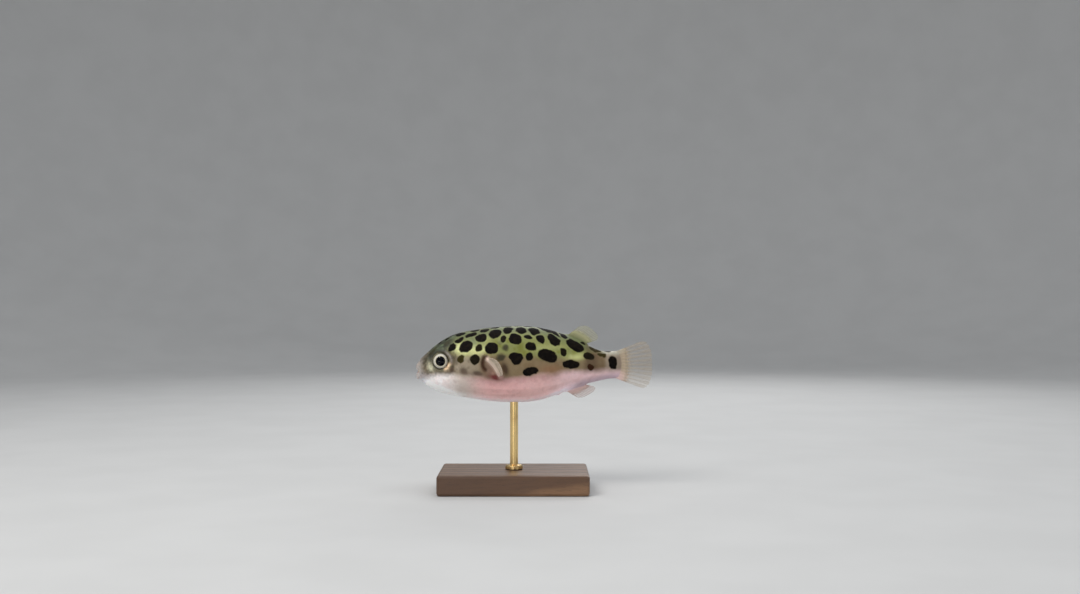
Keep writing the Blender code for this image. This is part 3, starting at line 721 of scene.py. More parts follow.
# ------------------------------------------------------------------ node helpers
class Nodes:
    """Short hand for building a material's node tree."""

    def __init__(self, name):
        self.mat = bpy.data.materials.new(name)
        self.mat.use_nodes = True
        self.tree = self.mat.node_tree
        self.shader = self.tree.nodes["Principled BSDF"]
        self.out = self.tree.nodes["Material Output"]

    def new(self, kind, **values):
        n = self.tree.nodes.new(kind)
        for k, v in values.items():
            if hasattr(n, k):
                setattr(n, k, v)
            else:
                n.inputs[k.replace("_", " ")].default_value = v
        return n

    def link(self, a, b):
        self.tree.links.new(a, b)

    def attribute(self, name, out="Fac"):
        n = self.new("ShaderNodeAttribute", attribute_name=name)
        return n.outputs[out]

    def coords(self):
        return self.new("ShaderNodeTexCoord").outputs["Object"]

    def noise(self, scale, detail=2.0, rough=0.5, vector=None, distortion=0.0):
        n = self.new("ShaderNodeTexNoise")
        n.inputs["Scale"].default_value = scale
        n.inputs["Detail"].default_value = detail
        n.inputs["Roughness"].default_value = rough
        n.inputs["Distortion"].default_value = distortion
        self.link(vector or self.coords(), n.inputs["Vector"])
        return n.outputs["Fac"]

    def voronoi(self, scale, vector=None, feature='F1'):
        n = self.new("ShaderNodeTexVoronoi", feature=feature)
        n.inputs["Scale"].default_value = scale
        self.link(vector or self.coords(), n.inputs["Vector"])
        return n.outputs["Distance"]

    def mapping(self, scale=(1, 1, 1), rotation=(0, 0, 0), location=(0, 0, 0)):
        n = self.new("ShaderNodeMapping")
        n.inputs["Scale"].default_value = scale
        n.inputs["Rotation"].default_value = rotation
        n.inputs["Location"].default_value = location
        self.link(self.coords(), n.inputs["Vector"])
        return n.outputs["Vector"]

    def math(self, op, a, b=None, clamp=False):
        n = self.new("ShaderNodeMath", operation=op, use_clamp=clamp)
        for socket, v in zip(n.inputs, (a, b)):
            if v is None:
                continue
            if isinstance(v, (int, float)):
                socket.default_value = v
            else:
                self.link(v, socket)
        return n.outputs[0]

    def span(self, value, low, high, to_low=0.0, to_high=1.0, kind='SMOOTHSTEP'):
        n = self.new("ShaderNodeMapRange", interpolation_type=kind)
        self.link(value, n.inputs["Value"])
        for k, v in (("From Min", low), ("From Max", high), ("To Min", to_low), ("To Max", to_high)):
            n.inputs[k].default_value = v
        return n.outputs["Result"]

    def mix(self, factor, a, b, blend='MIX'):
        n = self.new("ShaderNodeMix", data_type='RGBA', blend_type=blend)
        for socket, v in ((n.inputs[0], factor), (n.inputs[6], a), (n.inputs[7], b)):
            if isinstance(v, (int, float)):
                socket.default_value = v
            elif isinstance(v, tuple):
                socket.default_value = (*v, 1.0)
            else:
                self.link(v, socket)
        return n.outputs[2]

    def bump(self, height, strength, distance, normal=None):
        n = self.new("ShaderNodeBump")
        n.inputs["Strength"].default_value = strength
        n.inputs["Distance"].default_value = distance
        self.link(height, n.inputs["Height"])
        if normal is not None:
            self.link(normal, n.inputs["Normal"])
        return n.outputs["Normal"]

    def set(self, **values):
        for k, v in values.items():
            socket = self.shader.inputs[k.replace("_", " ")]
            if isinstance(v, (int, float)):
                socket.default_value = v
            elif isinstance(v, tuple):
                socket.default_value = v if len(v) == len(socket.default_value) else (*v, 1.0)
            else:
                self.link(v, socket)


def skin_material():
    n = Nodes("puffer_skin")
    ground = n.attribute("ground", "Color")
    spot = n.attribute("spot")
    belly = n.attribute("belly")
    tint = n.attribute("tint")
    uneven = n.math('MULTIPLY', n.math('SUBTRACT', n.noise(2400, 3, 0.6), 0.5), 0.22)
    edge = n.math('ADD', spot, uneven)
    dark = n.span(edge, -0.14, 0.10, 1.0, 0.0)
    brown = n.span(edge, -0.05, 0.30, 1.0, 0.0)
    # fine grain of pigment cells and prickles
    grain = n.noise(5200, 2, 0.6)
    freckle = n.voronoi(3600)
    pale = n.mix(n.span(grain, 0.35, 0.75), ground, n.mix(1.0, ground, (1.12, 1.11, 1.07), 'MULTIPLY'))
    speck = n.span(freckle, 0.10, 0.34, 1.0, 0.0)
    pale = n.mix(n.math('MULTIPLY', speck, n.span(belly, 0.0, 1.0, 0.30, 0.04)), pale,
                 n.mix(1.0, pale, (0.60, 0.58, 0.50), 'MULTIPLY'))
    colour = n.mix(n.math('MULTIPLY', brown, 0.55), pale, (0.055, 0.044, 0.017))
    ink = n.mix(n.span(n.noise(900, 2), 0.4, 0.7), (0.0032, 0.0022, 0.0016), (0.0085, 0.0058, 0.0032))
    olive = n.mix(n.span(tint, 1.0, 2.0), (0.040, 0.030, 0.007), (0.036, 0.013, 0.005))
    ink = n.mix(n.math('MULTIPLY', n.span(tint, 0.0, 1.0), n.span(spot, -0.9, 0.0, 0.75, 1.0)), ink, olive)
    colour = n.mix(dark, colour, ink)
    height = n.math('ADD', n.math('MULTIPLY', n.span(freckle, 0.0, 0.45, 1.0, 0.0), 0.6), n.math('MULTIPLY', grain, 0.5))
    n.set(Base_Color=colour, Roughness=n.math('ADD', n.span(grain, 0.2, 0.8, 0.38, 0.52), n.math('MULTIPLY', dark, 0.22)),
          Normal=n.bump(height, 0.24, 0.00006), Subsurface_Weight=0.10, Subsurface_Scale=0.0012,
          Subsurface_Radius=(1.0, 0.45, 0.30), Coat_Weight=n.math('MULTIPLY', n.attribute("sheen"), n.span(edge, -0.14, 0.10, 0.0, 0.05)), Coat_Roughness=0.25)
    n.set(Specular_IOR_Level=n.math('MULTIPLY', n.attribute("sheen"), n.span(edge, -0.14, 0.10, 0.06, 0.26)))
    return n.mat


def build_papilla(name, side, mat):
    """The forked flap of a nostril: two thin rounded leaves on a short foot."""
    u, level = 4.15, 3.35
    x = body_side(u, level)
    e = 0.05
    along = np.array([body_side(u + e, level) - body_side(u - e, level), 2 * e, 0.0])
    down = np.array([body_side(u, level - e) - body_side(u, level + e), 0.0, -2 * e])
    along, down = along / np.linalg.norm(along), down / np.linalg.norm(down)
    out = np.cross(along, down)
    out *= np.sign(out[0])
    place = np.array([x, u, level]) + 0.02 * out
    rows, cols = 14, 24
    verts, faces = [], []
    for lean in (-0.62, 0.62):
        base = len(verts)
        for i in range(rows):
            v = i / (rows - 1)
            height = 0.80 * v - 0.22
            width = 0.25 * math.sqrt(max(1 - ((v - 0.42) / 0.60) ** 2, 0.004))
            thick = 0.10 * math.sqrt(max(1 - v ** 3, 0.01)) + 0.02
            for j in range(cols):
                a = 2 * PI * j / cols
                w, t = width * math.cos(a), thick * math.sin(a)
                curl = lean * (0.10 + 0.42 * max(v, 0) ** 1.4)
                verts.append(place + out * height + along * (curl + t) + down * (w + 0.12 * v * v))
        for i in range(rows - 1):
            for j in range(cols):
                k = (j + 1) % cols
                faces.append((base + i * cols + j, base + i * cols + k, base + (i + 1) * cols + k, base + (i + 1) * cols + j))
        faces.append(tuple(base + j for j in range(cols)))
        faces.append(tuple(base + (rows - 1) * cols + j for j in range(cols - 1, -1, -1)))
    points = np.array(verts)
    points[:, 0] *= side
    o = add_object(name, to_world(points), faces)
    bm = bmesh.new()
    bm.from_mesh(o.data)
    bmesh.ops.recalc_face_normals(bm, faces=bm.faces[:])
    bm.to_mesh(o.data)
    bm.free()
    count = len(points)
    point_value(o, "spot", np.full(count, 3.0))
    point_value(o, "belly", np.zeros(count))
    point_value(o, "tint", np.zeros(count))
    point_value(o, "sheen", np.ones(count))
    tip = np.tile(np.repeat(np.linspace(0, 1, rows), cols), 2)[:, None]
    point_colour(o, "ground", np.array([0.125, 0.115, 0.072]) * (1 - tip) + np.array([0.165, 0.150, 0.095]) * tip)
    o.data.materials.append(mat)
    return o


def build_skin():
    rows, cols = SKIN.shape[:2]
    verts = SKIN.reshape(-1, 3)
    faces = [tuple(f) for f in grid_faces(rows, cols, True)]
    front = len(verts)
    verts = np.concatenate([verts, SKIN[0].mean(0)[None] + [[0, 0.15, 0]], SKIN[-1].mean(0)[None]])
    faces += [(front, (j + 1) % cols, j) for j in range(cols)]
    last = (rows - 1) * cols
    faces += [(front + 1, last + j, last + (j + 1) % cols) for j in range(cols)]
    o = add_object("puffer_skin", to_world(verts), faces)
    bm = bmesh.new()
    bm.from_mesh(o.data)
    bmesh.ops.recalc_face_normals(bm, faces=bm.faces[:])
    bm.to_mesh(o.data)
    bm.free()

    def padded(a):
        a = a.reshape(rows * cols, -1)
        return np.concatenate([a, a[:1], a[-1:]])

    point_value(o, "spot", padded(spot)[:, 0])
    point_value(o, "belly", padded(INTO_BELLY)[:, 0])
    point_value(o, "tint", padded(spot_tint)[:, 0])
    point_value(o, "sheen", padded(np.where(OUTSIDE, 1 - 0.95 * hump(gill_d, -0.08, 0.6) * gill_reach, 1.0))[:, 0])
    point_colour(o, "ground", padded(GROUND))
    o.data.materials.append(skin_material())
    return o


# ------------------------------------------------------------------ fins
def lerp(a, b, t):
    return a + (b - a) * t


def rounded(t, share, power):
    return share + (1 - share) * (1 - np.abs(2 * t - 1) ** power) ** (1 / power)


def fin_material(name, web, ray_colour, web_alpha, ray_alpha):
    """Clear web with cloudy patches, denser rays, skin at the root."""
    n = Nodes(name)
    ray = n.attribute("ray")
    root = n.attribute("root")
    cloudy = n.noise(900, 3, 0.6)
    fine = n.noise(3600, 2, 0.6)
    joints = n.attribute("joint")
    colour = n.mix(ray, web, ray_colour)
    colour = n.mix(n.math('MULTIPLY', joints, 0.40), colour, n.mix(1.0, colour, (0.66, 0.60, 0.52), 'MULTIPLY'))
    flesh = n.mix(n.span(fine, 0.3, 0.7, 0.0, 0.5), n.attribute("ground", "Color"),
                  n.mix(1.0, n.attribute("ground", "Color"), (0.72, 0.70, 0.66), 'MULTIPLY'))
    colour = n.mix(root, colour, flesh)
    alpha = n.math('ADD', n.span(cloudy, 0.3, 0.7, web_alpha * 0.75, web_alpha * 1.25),
                   n.math('MULTIPLY', ray, ray_alpha - web_alpha))
    alpha = n.math('ADD', alpha, n.span(root, 0.0, 0.6), clamp=True)
    n.set(Base_Color=colour, Roughness=n.span(cloudy, 0.2, 0.8, 0.30, 0.44), Alpha=alpha,
          Normal=n.bump(fine, 0.2, 0.00004))
    n.shader.inputs["Specular IOR Level"].default_value = 0.30
    return n.mat


def fin_piece(name, root, ray, rays, mat, root_colour, along=56, per_ray=14, web=0.09, ray_thick=0.28,
              root_thick=0.75, root_reach=0.12, flesh_reach=0.12, scallop=0.02, seed=3, forks=(0.34, 0.66), sag_depth=0.045, rim=None):
    """A webbed fin: rays as ridges on both faces that fork toward a softly scalloped
    edge, out of a fleshy root.  The ends of the root are its first and last rays."""
    count = rays * per_ray + 1
    s = np.linspace(0, 1, count)
    t = s[None, :] * np.ones((along, 1))
    out = (np.linspace(0, 1, along) ** 0.9)[:, None] * np.ones((1, count))
    phase = t * rays
    k = np.floor(np.clip(phase, 0, rays - 1e-6))
    local = phase - k - 0.5
    jitter = 0.05 * np.sin(k * 2.7 + 1.3 * seed)
    first = smooth(out, forks[0] + jitter, 1.0) * 0.20
    second = smooth(out, forks[1] + jitter, 1.0) * 0.09
    width = 0.125 - 0.065 * out
    crest = np.zeros_like(local)
    for a in (-1, 1):
        for b in (-1, 1):
            crest = np.maximum(crest, np.exp(-((local - a * first - b * second) / width) ** 2))
    margin = np.exp(-(np.minimum(t, 1 - t) * rays / 0.16) ** 2)
    crest = np.maximum(crest, margin)
    broad = np.exp(-(local / 0.42) ** 2)
    edge = 1 - scallop * (1 - broad) * smooth(out, 0.6, 1.0)
    ragged = noise(np.stack([phase * 2.1, out * 0, phase * 0], -1), 1.0, seed) * 0.010 * smooth(out, 0.7, 1.0)
    reach = out * (edge + ragged)
    mid = root(t) + ray(t, reach)
    du = np.gradient(mid, axis=1)
    dv = np.gradient(mid, axis=0)
    normal = np.cross(du, dv)
    normal /= np.maximum(np.linalg.norm(normal, axis=-1, keepdims=True), 1e-9)
    sag = sag_depth * np.cos(2 * PI * phase) * smooth(out, 0.15, 0.7) * (1 - margin)
    ripple = 0.12 * noise(np.stack([t * 3.1, out * 1.4, t * 0], -1), 1.0, seed + 5) * smooth(out, 0.2, 1.0)
    mid = mid + normal * (sag + ripple)[..., None]
    flesh = np.exp(-(out / flesh_reach) ** 2)
    thick = web + ray_thick * crest * (1 - 0.62 * out) * (1 - 0.7 * flesh) + root_thick * np.exp(-(out / root_reach) ** 2)
    thick = thick * (1 - 0.6 * np.exp(-(np.minimum(t, 1 - t) * rays / 0.05) ** 2)) * (1 - 0.55 * smooth(out, 0.975, 1.0))
    a = mid + normal * thick[..., None] / 2
    b = mid - normal * thick[..., None] / 2
    rows, cols = t.shape
    n = rows * cols
    faces = [tuple(f) for f in grid_faces(rows, cols, False)]
    faces += [tuple(x + n for x in reversed(f)) for f in faces]
    loop = ([(0, j) for j in range(cols)] + [(i, cols - 1) for i in range(1, rows)]
            + [(rows - 1, j) for j in range(cols - 2, -1, -1)] + [(i, 0) for i in range(rows - 2, 0, -1)])
    idx = [i * cols + j for i, j in loop]
    for p, q in zip(idx, idx[1:] + idx[:1]):
        faces.append((p, p + n, q + n, q))
    o = add_object(name, to_world(np.concatenate([a.reshape(-1, 3), b.reshape(-1, 3)])), faces)
    bm = bmesh.new()
    bm.from_mesh(o.data)
    bmesh.ops.recalc_face_normals(bm, faces=bm.faces[:])
    bm.to_mesh(o.data)
    bm.free()
    two = lambda v: np.concatenate([v.ravel(), v.ravel()])
    point_value(o, "ray", two(np.clip(crest * (1 - 0.25 * out), 0, 1)))
    point_value(o, "root", two(flesh))
    bands = (0.5 + 0.5 * np.cos(2 * PI * (out * 26 + 0.35 * np.sin(phase * 5)))) ** 6 * crest * smooth(out, 0.3, 0.5)
    point_value(o, "joint", two(bands))
    colour = np.zeros((rows, cols, 3)) + np.array(root_colour)
    if rim is not None:
        colour = rim(colour, t, out)
    point_colour(o, "ground", np.concatenate([colour.reshape(-1, 3)] * 2))
    o.data.materials.append(mat)
    return o


def stack(*parts):
    parts = np.broadcast_arrays(*parts)
    return np.stack(parts, -1)


def median_fin(name, sign, front, rear, lean_front, lean_rear, front_length, rear_length,
               corner, tilt, rays, mat, colour):
    edge = BACK if sign > 0 else BELLY

    def root(t):
        u = lerp(front, rear, t)
        return stack(0 * t, u, edge(u) - sign * 0.35)

    def ray(t, out):
        lean = np.radians(lerp(lean_front, lean_rear, t))
        length = lerp(front_length, rear_length, t) * rounded(t, corner, 2.4) + 0.8
        reach = length * out
        up = reach * np.cos(lean)
        side = np.radians(tilt) * (0.6 + 0.4 * out)
        return stack(-up * np.sin(side), reach * np.sin(lean), sign * up * np.cos(side))

    return fin_piece(name, root, ray, rays, mat, colour, root_thick=1.20, root_reach=0.36,
                     flesh_reach=0.44, seed=4 + sign)


def tail_fin(mat, colour):
    spread = math.radians(21)
    start = STANDARD_LENGTH - 0.6

    def root(t):
        return stack(0 * t, start + 0 * t, lerp(-4.1, 3.7, t))

    def ray(t, out):
        angle = lerp(-spread, spread, t)
        longest = TOTAL_LENGTH - start
        reach = longest * rounded(t, 0.66, 3.0) * out
        sway = 0.5 * out * out
        return stack(-sway, reach * np.cos(angle), reach * np.sin(angle))

    def rim(c, t, out):
        low = (1 - smooth(t, 0.16, 0.40))[..., None]
        high = smooth(t, 0.80, 0.96)[..., None]
        c = c * (1 - low) + np.array([0.70, 0.49, 0.485]) * low
        return c * (1 - high) + np.array([0.46, 0.42, 0.34]) * high

    return fin_piece("tail_fin_rays", root, ray, 11, mat, colour, along=76, per_ray=16,
                     ray_thick=0.30, root_thick=0.74, root_reach=0.27, flesh_reach=0.29, scallop=0.013, seed=9, rim=rim)


def side_fin(name, side, mat, colour):
    stops = np.linspace(0, 1, 13)
    widths = [body_side(*map(float, fin_root(k))) for k in stops]

    def root(t):
        u, level = fin_root(t)
        x = np.interp(t[0], stops, widths)
        return stack(side * (x[None, :] + 0.20 + 0 * t), u, level)

    def ray(t, out):
        rise = np.radians(lerp(6, 12, t))
        sweep = np.radians(7 + 8 * out)
        reach = (lerp(5.9, 6.5, t) * rounded(t, 0.30, 2.1) + 0.30) * out
        return stack(side * reach * np.cos(sweep) * np.cos(rise), reach * np.sin(sweep),
                     reach * np.sin(rise) * np.cos(sweep))

    def rim(c, t, out):
        olive = smooth(out, 0.30, 0.52)[..., None]
        c = c * (1 - olive) + np.array([0.50, 0.41, 0.30]) * olive
        pink = ((1 - smooth(t, 0.10, 0.32)) * (1 - smooth(out, 0.5, 0.9)))[..., None]
        return c * (1 - 0.7 * pink) + np.array([0.62, 0.42, 0.37]) * 0.7 * pink

    return fin_piece(name, root, ray, 16, mat, colour, along=60, per_ray=12, web=0.10, ray_thick=0.045, sag_depth=0.008,
                     root_thick=0.95, root_reach=0.24, flesh_reach=0.36, scallop=0.008, seed=12,
                     forks=(0.60, 0.82), rim=rim)


# ------------------------------------------------------------------ eyes and beak
def lathe(name, profile, axis_x, centre, segments=64):
    """Turned shape about the x axis through centre; profile is (along x, radius)."""
    ring = 2 * PI * np.arange(segments) / segments
    verts, faces = [], []
    for along, radius in profile:
        for a in ring:
            verts.append((centre[0] + axis_x * along, centre[1] + radius * math.cos(a), centre[2] + radius * math.sin(a)))
    for i in range(len(profile) - 1):
        for j in range(segments):
            k = (j + 1) % segments
            faces.append((i * segments + j, i * segments + k, (i + 1) * segments + k, (i + 1) * segments + j))
    verts.append((centre[0] + axis_x * profile[0][0], centre[1], centre[2]))
    verts.append((centre[0] + axis_x * profile[-1][0], centre[1], centre[2]))
    n = len(profile) * segments
    for j in range(segments):
        k = (j + 1) % segments
        faces.append((n, k, j))
        faces.append((n + 1, (len(profile) - 1) * segments + j, (len(profile) - 1) * segments + k))
    o = add_object(name, to_world(verts), faces)
    bm = bmesh.new()
    bm.from_mesh(o.data)
    bmesh.ops.recalc_face_normals(bm, faces=bm.faces[:])
    bm.to_mesh(o.data)
    bm.free()
    return o


PUPIL = 1.42
RING = 2.08


def eyeball_material():
    n = Nodes("eyeball")
    r = n.attribute("from_pupil")
    warm = n.attribute("warm")
    fibres = n.noise(1500, 3, 0.6)
    r2 = n.math('ADD', r, n.math('MULTIPLY', n.math('SUBTRACT', fibres, 0.5), 0.12))
    outer = n.mix(n.span(n.noise(1100, 3, 0.6), 0.35, 0.7), (0.235, 0.215, 0.120), (0.135, 0.125, 0.070))
    outer = n.mix(warm, outer, (0.78, 0.57, 0.37))
    ivory = n.mix(n.span(fibres, 0.35, 0.65), (0.70, 0.66, 0.55), (0.60, 0.57, 0.50))
    ivory = n.mix(n.span(r, PUPIL + 0.02, PUPIL + 0.22, 0.55, 0.0), ivory, (0.74, 0.66, 0.36))
    colour = n.mix(n.span(r2, RING - 0.02, RING + 0.12), ivory, outer)
    line = n.math('MULTIPLY', n.span(r2, RING - 0.04, RING + 0.08), n.span(r2, RING + 0.12, RING + 0.30, 1.0, 0.0))
    line = n.math('MULTIPLY', line, n.span(warm, 0.0, 0.6, 0.85, 0.0))
    colour = n.mix(line, colour, (0.050, 0.042, 0.024))
    black = n.span(r2, PUPIL - 0.04, PUPIL + 0.06, 1.0, 0.0)
    colour = n.mix(black, colour, (0.003, 0.003, 0.005))
    n.set(Base_Color=colour, Roughness=n.span(fibres, 0.2, 0.8, 0.30, 0.42), Normal=n.bump(fibres, 0.15, 0.00005))
    n.set(Specular_IOR_Level=n.math('MULTIPLY', n.math('SUBTRACT', 1.0, black), 0.2))
    return n.mat


def cornea_material():
    n = Nodes("cornea")
    clear = n.new("ShaderNodeBsdfTransparent")
    gloss = n.new("ShaderNodeBsdfGlossy")
    gloss.inputs["Roughness"].default_value = 0.03
    fresnel = n.new("ShaderNodeFresnel")
    fresnel.inputs["IOR"].default_value = 1.25
    mixer = n.new("ShaderNodeMixShader")
    n.link(fresnel.outputs[0], mixer.inputs[0])
    n.link(clear.outputs[0], mixer.inputs[1])
    n.link(gloss.outputs[0], mixer.inputs[2])
    n.link(mixer.outputs[0], n.out.inputs["Surface"])
    n.tree.nodes.remove(n.shader)
    return n.mat


def build_eye(name, side, ball_mat, cornea_mat):
    """Eyeball with an iris sunk under the cornea and the lens bulging through the pupil."""
    centre = (side * EYE[0], EYE[1], EYE[2])
    r = EYE_RADIUS - 0.08
    iris_edge = 2.42
    profile = [(-r * 0.98, 0.35)]
    rim_angle = math.degrees(math.asin(iris_edge / r))
    for a in np.linspace(165, rim_angle, 24):
        profile.append((r * math.cos(math.radians(a)), r * math.sin(math.radians(a))))
    flat = profile[-1][0]
    for k in np.linspace(0, 1, 16)[1:]:
        profile.append((flat + 0.62 * k - 0.10 * k * k + 0.05 * math.sin(PI * k), lerp(iris_edge, PUPIL, k)))
    rim = profile[-1][0]
    for k in np.linspace(0, 1, 14)[1:]:
        a = k * PI / 2
        profile.append((rim - 0.05 + 0.42 * math.sin(a), max(PUPIL * 0.985 * math.cos(a), 0.02)))
    o = lathe(name + "_ball", profile, side, centre)
    co = np.zeros(len(o.data.vertices) * 3)
    o.data.vertices.foreach_get("co", co)
    co = co.reshape(-1, 3) / MM - np.array([0.0, SNOUT_Y, AXIS_LEVEL])
    du, dl = co[:, 1] - EYE[1], co[:, 2] - EYE[2]
    dist = np.where((co[:, 0] * side - EYE[0]) < 0, 2.7, np.hypot(du, dl))
    point_value(o, "from_pupil", dist)
    turn = np.arctan2(dl, du)
    point_value(o, "warm", smooth(np.cos(turn + 0.68), 0.70, 0.95) * smooth(dist, 1.80, 2.15))
    o.data.materials.append(ball_mat)
    # the ball looks a little forward and up
    tilt_about(o, to_world(centre), math.radians(side * 3.0), math.radians(side * -2.0))
    dome = [(-r * 0.2, r * 1.005)]
    for a in np.linspace(97, 1, 44):
        c = math.cos(math.radians(a))
        dome.append((EYE_RADIUS * c * (1.0 + 0.015 * max(c, 0)), EYE_RADIUS * math.sin(math.radians(a))))
    cornea = lathe(name + "_cornea", dome, side, centre)
    cornea.data.materials.append(cornea_mat)
    return o, cornea


def tilt_about(o, centre, about_z, about_y):
    c = Vector(centre)
    m = (Matrix.Translation(c) @ Matrix.Rotation(-about_z, 4, 'Z') @ Matrix.Rotation(about_y, 4, 'Y')
         @ Matrix.Translation(-c))
    o.data.transform(m)


def beak_material():
    n = Nodes("beak")
    grain = n.noise(1800, 3, 0.6)
    stain = n.noise(520, 2)
    colour = n.mix(n.span(grain, 0.3, 0.7), (0.80, 0.72, 0.55), (0.66, 0.56, 0.38))
    colour = n.mix(n.math('MULTIPLY', n.attribute("deep"), n.span(stain, 0.3, 0.7, 0.5, 0.9)), colour, (0.34, 0.20, 0.11))
    n.set(Base_Color=colour, Roughness=n.span(grain, 0.2, 0.8, 0.16, 0.32), Normal=n.bump(grain, 0.2, 0.00004),
          Coat_Weight=0.3, Coat_Roughness=0.08)
    return n.mat


def build_beak(name, sign, mat):
    """A jaw's fused plate: a curved blade with a groove down its middle, thick behind."""
    lead = 0.0 if sign > 0 else 0.14
    rows, cols = 18, 40
    verts, deep = [], []
    for i in range(rows):
        v = i / (rows - 1)                      # 0 at the biting edge, 1 at the gum, both faces
        for j in range(2 * cols):
            face = 1 if j < cols else -1
            k = (j if face > 0 else 2 * cols - 1 - j) / (cols - 1)
            a = lerp(-1.25, 1.25, k)
            groove = 0.07 * math.exp(-(a / 0.07) ** 2) * (1 - 0.4 * v)
            thick = lerp(0.05, 0.42, v ** 0.7)
            radius = 1.42 + (thick / 2 - groove if face > 0 else -thick / 2)
            side = radius * math.sin(a) * 1.02
            front = 2.05 + lead - radius * math.cos(a) - 0.10 * (1 - v)
            level = MOUTH_LEVEL + sign * (0.02 + 0.74 * v + 0.05 * math.cos(3 * a) * (1 - v)) - sign * 0.06 * abs(a)
            verts.append((side, front, level))
            deep.append(v ** 1.5)
    faces = []
    n = 2 * cols
    for i in range(rows - 1):
        for j in range(n):
            k = (j + 1) % n
            faces.append((i * n + j, i * n + k, (i + 1) * n + k, (i + 1) * n + j))
    for base in (0, (rows - 1) * n):
        for j in range(cols - 1):
            faces.append((base + j, base + j + 1, base + n - 2 - j, base + n - 1 - j))
    o = add_object(name, to_world(verts), faces)
    bm = bmesh.new()
    bm.from_mesh(o.data)
    bmesh.ops.recalc_face_normals(bm, faces=bm.faces[:])
    bm.to_mesh(o.data)
    bm.free()
    point_value(o, "deep", np.array(deep))
    o.data.materials.append(mat)
    return o


# ------------------------------------------------------------------ stand
def wood_material():
    n = Nodes("walnut")
    stretched = n.mapping(scale=(1.0, 0.10, 1.0))
    figure = n.noise(70, 4, 0.55, n.mapping(scale=(1.0, 0.16, 1.0), rotation=(0, 0, 0.06)), 0.8)
    wave = n.new("ShaderNodeTexWave", wave_type='BANDS', bands_direction='X')
    wave.inputs["Scale"].default_value = 62
    wave.inputs["Distortion"].default_value = 9
    wave.inputs["Detail"].default_value = 3
    wave.inputs["Detail Scale"].default_value = 1.2
    n.link(n.mapping(scale=(1.0, 0.12, 0.8), rotation=(0, 0, 0.05)), wave.inputs["Vector"])
    pores = n.noise(5200, 2, 0.7, stretched)
    fine = n.noise(1500, 3, 0.6, stretched)
    colour = n.mix(n.span(wave.outputs["Fac"], 0.15, 0.85), (0.105, 0.050, 0.022), (0.215, 0.112, 0.052))
    colour = n.mix(n.span(figure, 0.35, 0.70), colour, n.mix(1.0, colour, (0.62, 0.56, 0.52), 'MULTIPLY'))
    colour = n.mix(n.span(fine, 0.45, 0.70, 0.0, 0.45), colour, (0.060, 0.028, 0.013))
    pore = n.span(pores, 0.60, 0.70)
    colour = n.mix(n.math('MULTIPLY', pore, 0.55), colour, (0.030, 0.014, 0.007))
    height = n.math('SUBTRACT', n.math('MULTIPLY', fine, 0.4), pore)
    n.set(Base_Color=colour, Roughness=n.span(fine, 0.2, 0.8, 0.30, 0.46), Normal=n.bump(height, 0.35, 0.00006),
          Coat_Weight=0.15, Coat_Roughness=0.25)
    return n.mat


def brass_material():
    n = Nodes("brass")
    brushed = n.noise(2600, 2, 0.6, n.mapping(scale=(1, 1, 0.05)))
    tarnish = n.noise(160, 3, 0.6)
    colour = n.mix(n.span(tarnish, 0.45, 0.75, 0.0, 0.55), (0.80, 0.58, 0.26), (0.52, 0.33, 0.13))
    n.set(Base_Color=colour, Metallic=1.0, Roughness=n.span(brushed, 0.2, 0.8, 0.20, 0.36),
          Normal=n.bump(brushed, 0.12, 0.00003))
    return n.mat


def felt_material():
    n = Nodes("felt")
    fibre = n.noise(6000, 3, 0.7)
    n.set(Base_Color=n.mix(fibre, (0.012, 0.011, 0.010), (0.035, 0.032, 0.028)), Roughness=0.9,
          Normal=n.bump(fibre, 0.5, 0.0001))
    return n.mat


def ring_piece(name, x, y, z0, z1, inner, outer, segments=64):
    verts, faces = [], []
    for r, z in ((inner, z0), (outer, z0), (outer, z1), (inner, z1)):
        for j in range(segments):
            a = 2 * PI * j / segments
            verts.append(((x + r * math.cos(a)) * MM, (y + r * math.sin(a)) * MM, z * MM))
    for i in range(4):
        for j in range(segments):
            k = (j + 1) % segments
            m = (i + 1) % 4
            faces.append((i * segments + j, i * segments + k, m * segments + k, m * segments + j))
    return add_object(name, verts, faces, False)


# ------------------------------------------------------------------ put it together
skin = build_skin()
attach(skin, "root")
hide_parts("head", "trunk", "tail_stalk")

for side, name in ((1, "left"), (-1, "right")):
    flap = build_papilla("nasal_flap_" + name, side, skin.data.materials[0])
    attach(flap, "root")

BACK_ROOT = (0.165, 0.170, 0.075)
TAIL_ROOT = (0.36, 0.285, 0.21)
PINK_ROOT = (0.72, 0.51, 0.50)
# pale fleshy root of the side fins, partly its own colour and partly a painted highlight on the lit ridge
PALE_ROOT_AND_HIGHLIGHT = (0.88, 0.72, 0.61)
tail_web = fin_material("tail_web", (0.50, 0.40, 0.28), (0.42, 0.33, 0.21), 0.08, 0.37)
back_web = fin_material("back_web", (0.46, 0.44, 0.26), (0.36, 0.34, 0.18), 0.09, 0.42)
pink_web = fin_material("pink_web", (0.66, 0.48, 0.42), (0.58, 0.40, 0.34), 0.13, 0.52)
side_web = fin_material("side_web", (0.70, 0.60, 0.475), (0.74, 0.64, 0.515), 0.58, 0.74)

pieces = {
    "caudal_fin": tail_fin(tail_web, TAIL_ROOT),
    "dorsal_fin": median_fin("back_fin_rays", 1, 44.6, 49.9, 51, 70, 6.0, 4.6, 0.55, 22, 13, back_web, BACK_ROOT),
    "anal_fin": median_fin("vent_fin_rays", -1, 44.2, 49.4, 54, 74, 5.0, 4.2, 0.55, 22, 11, pink_web, PINK_ROOT),
    "pectoral_fin_left": side_fin("side_fin_rays_left", 1, side_web, PALE_ROOT_AND_HIGHLIGHT),
    "pectoral_fin_right": side_fin("side_fin_rays_right", -1, side_web, PALE_ROOT_AND_HIGHLIGHT),
}
for node, piece in pieces.items():
    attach(piece, "root")
    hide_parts(node)

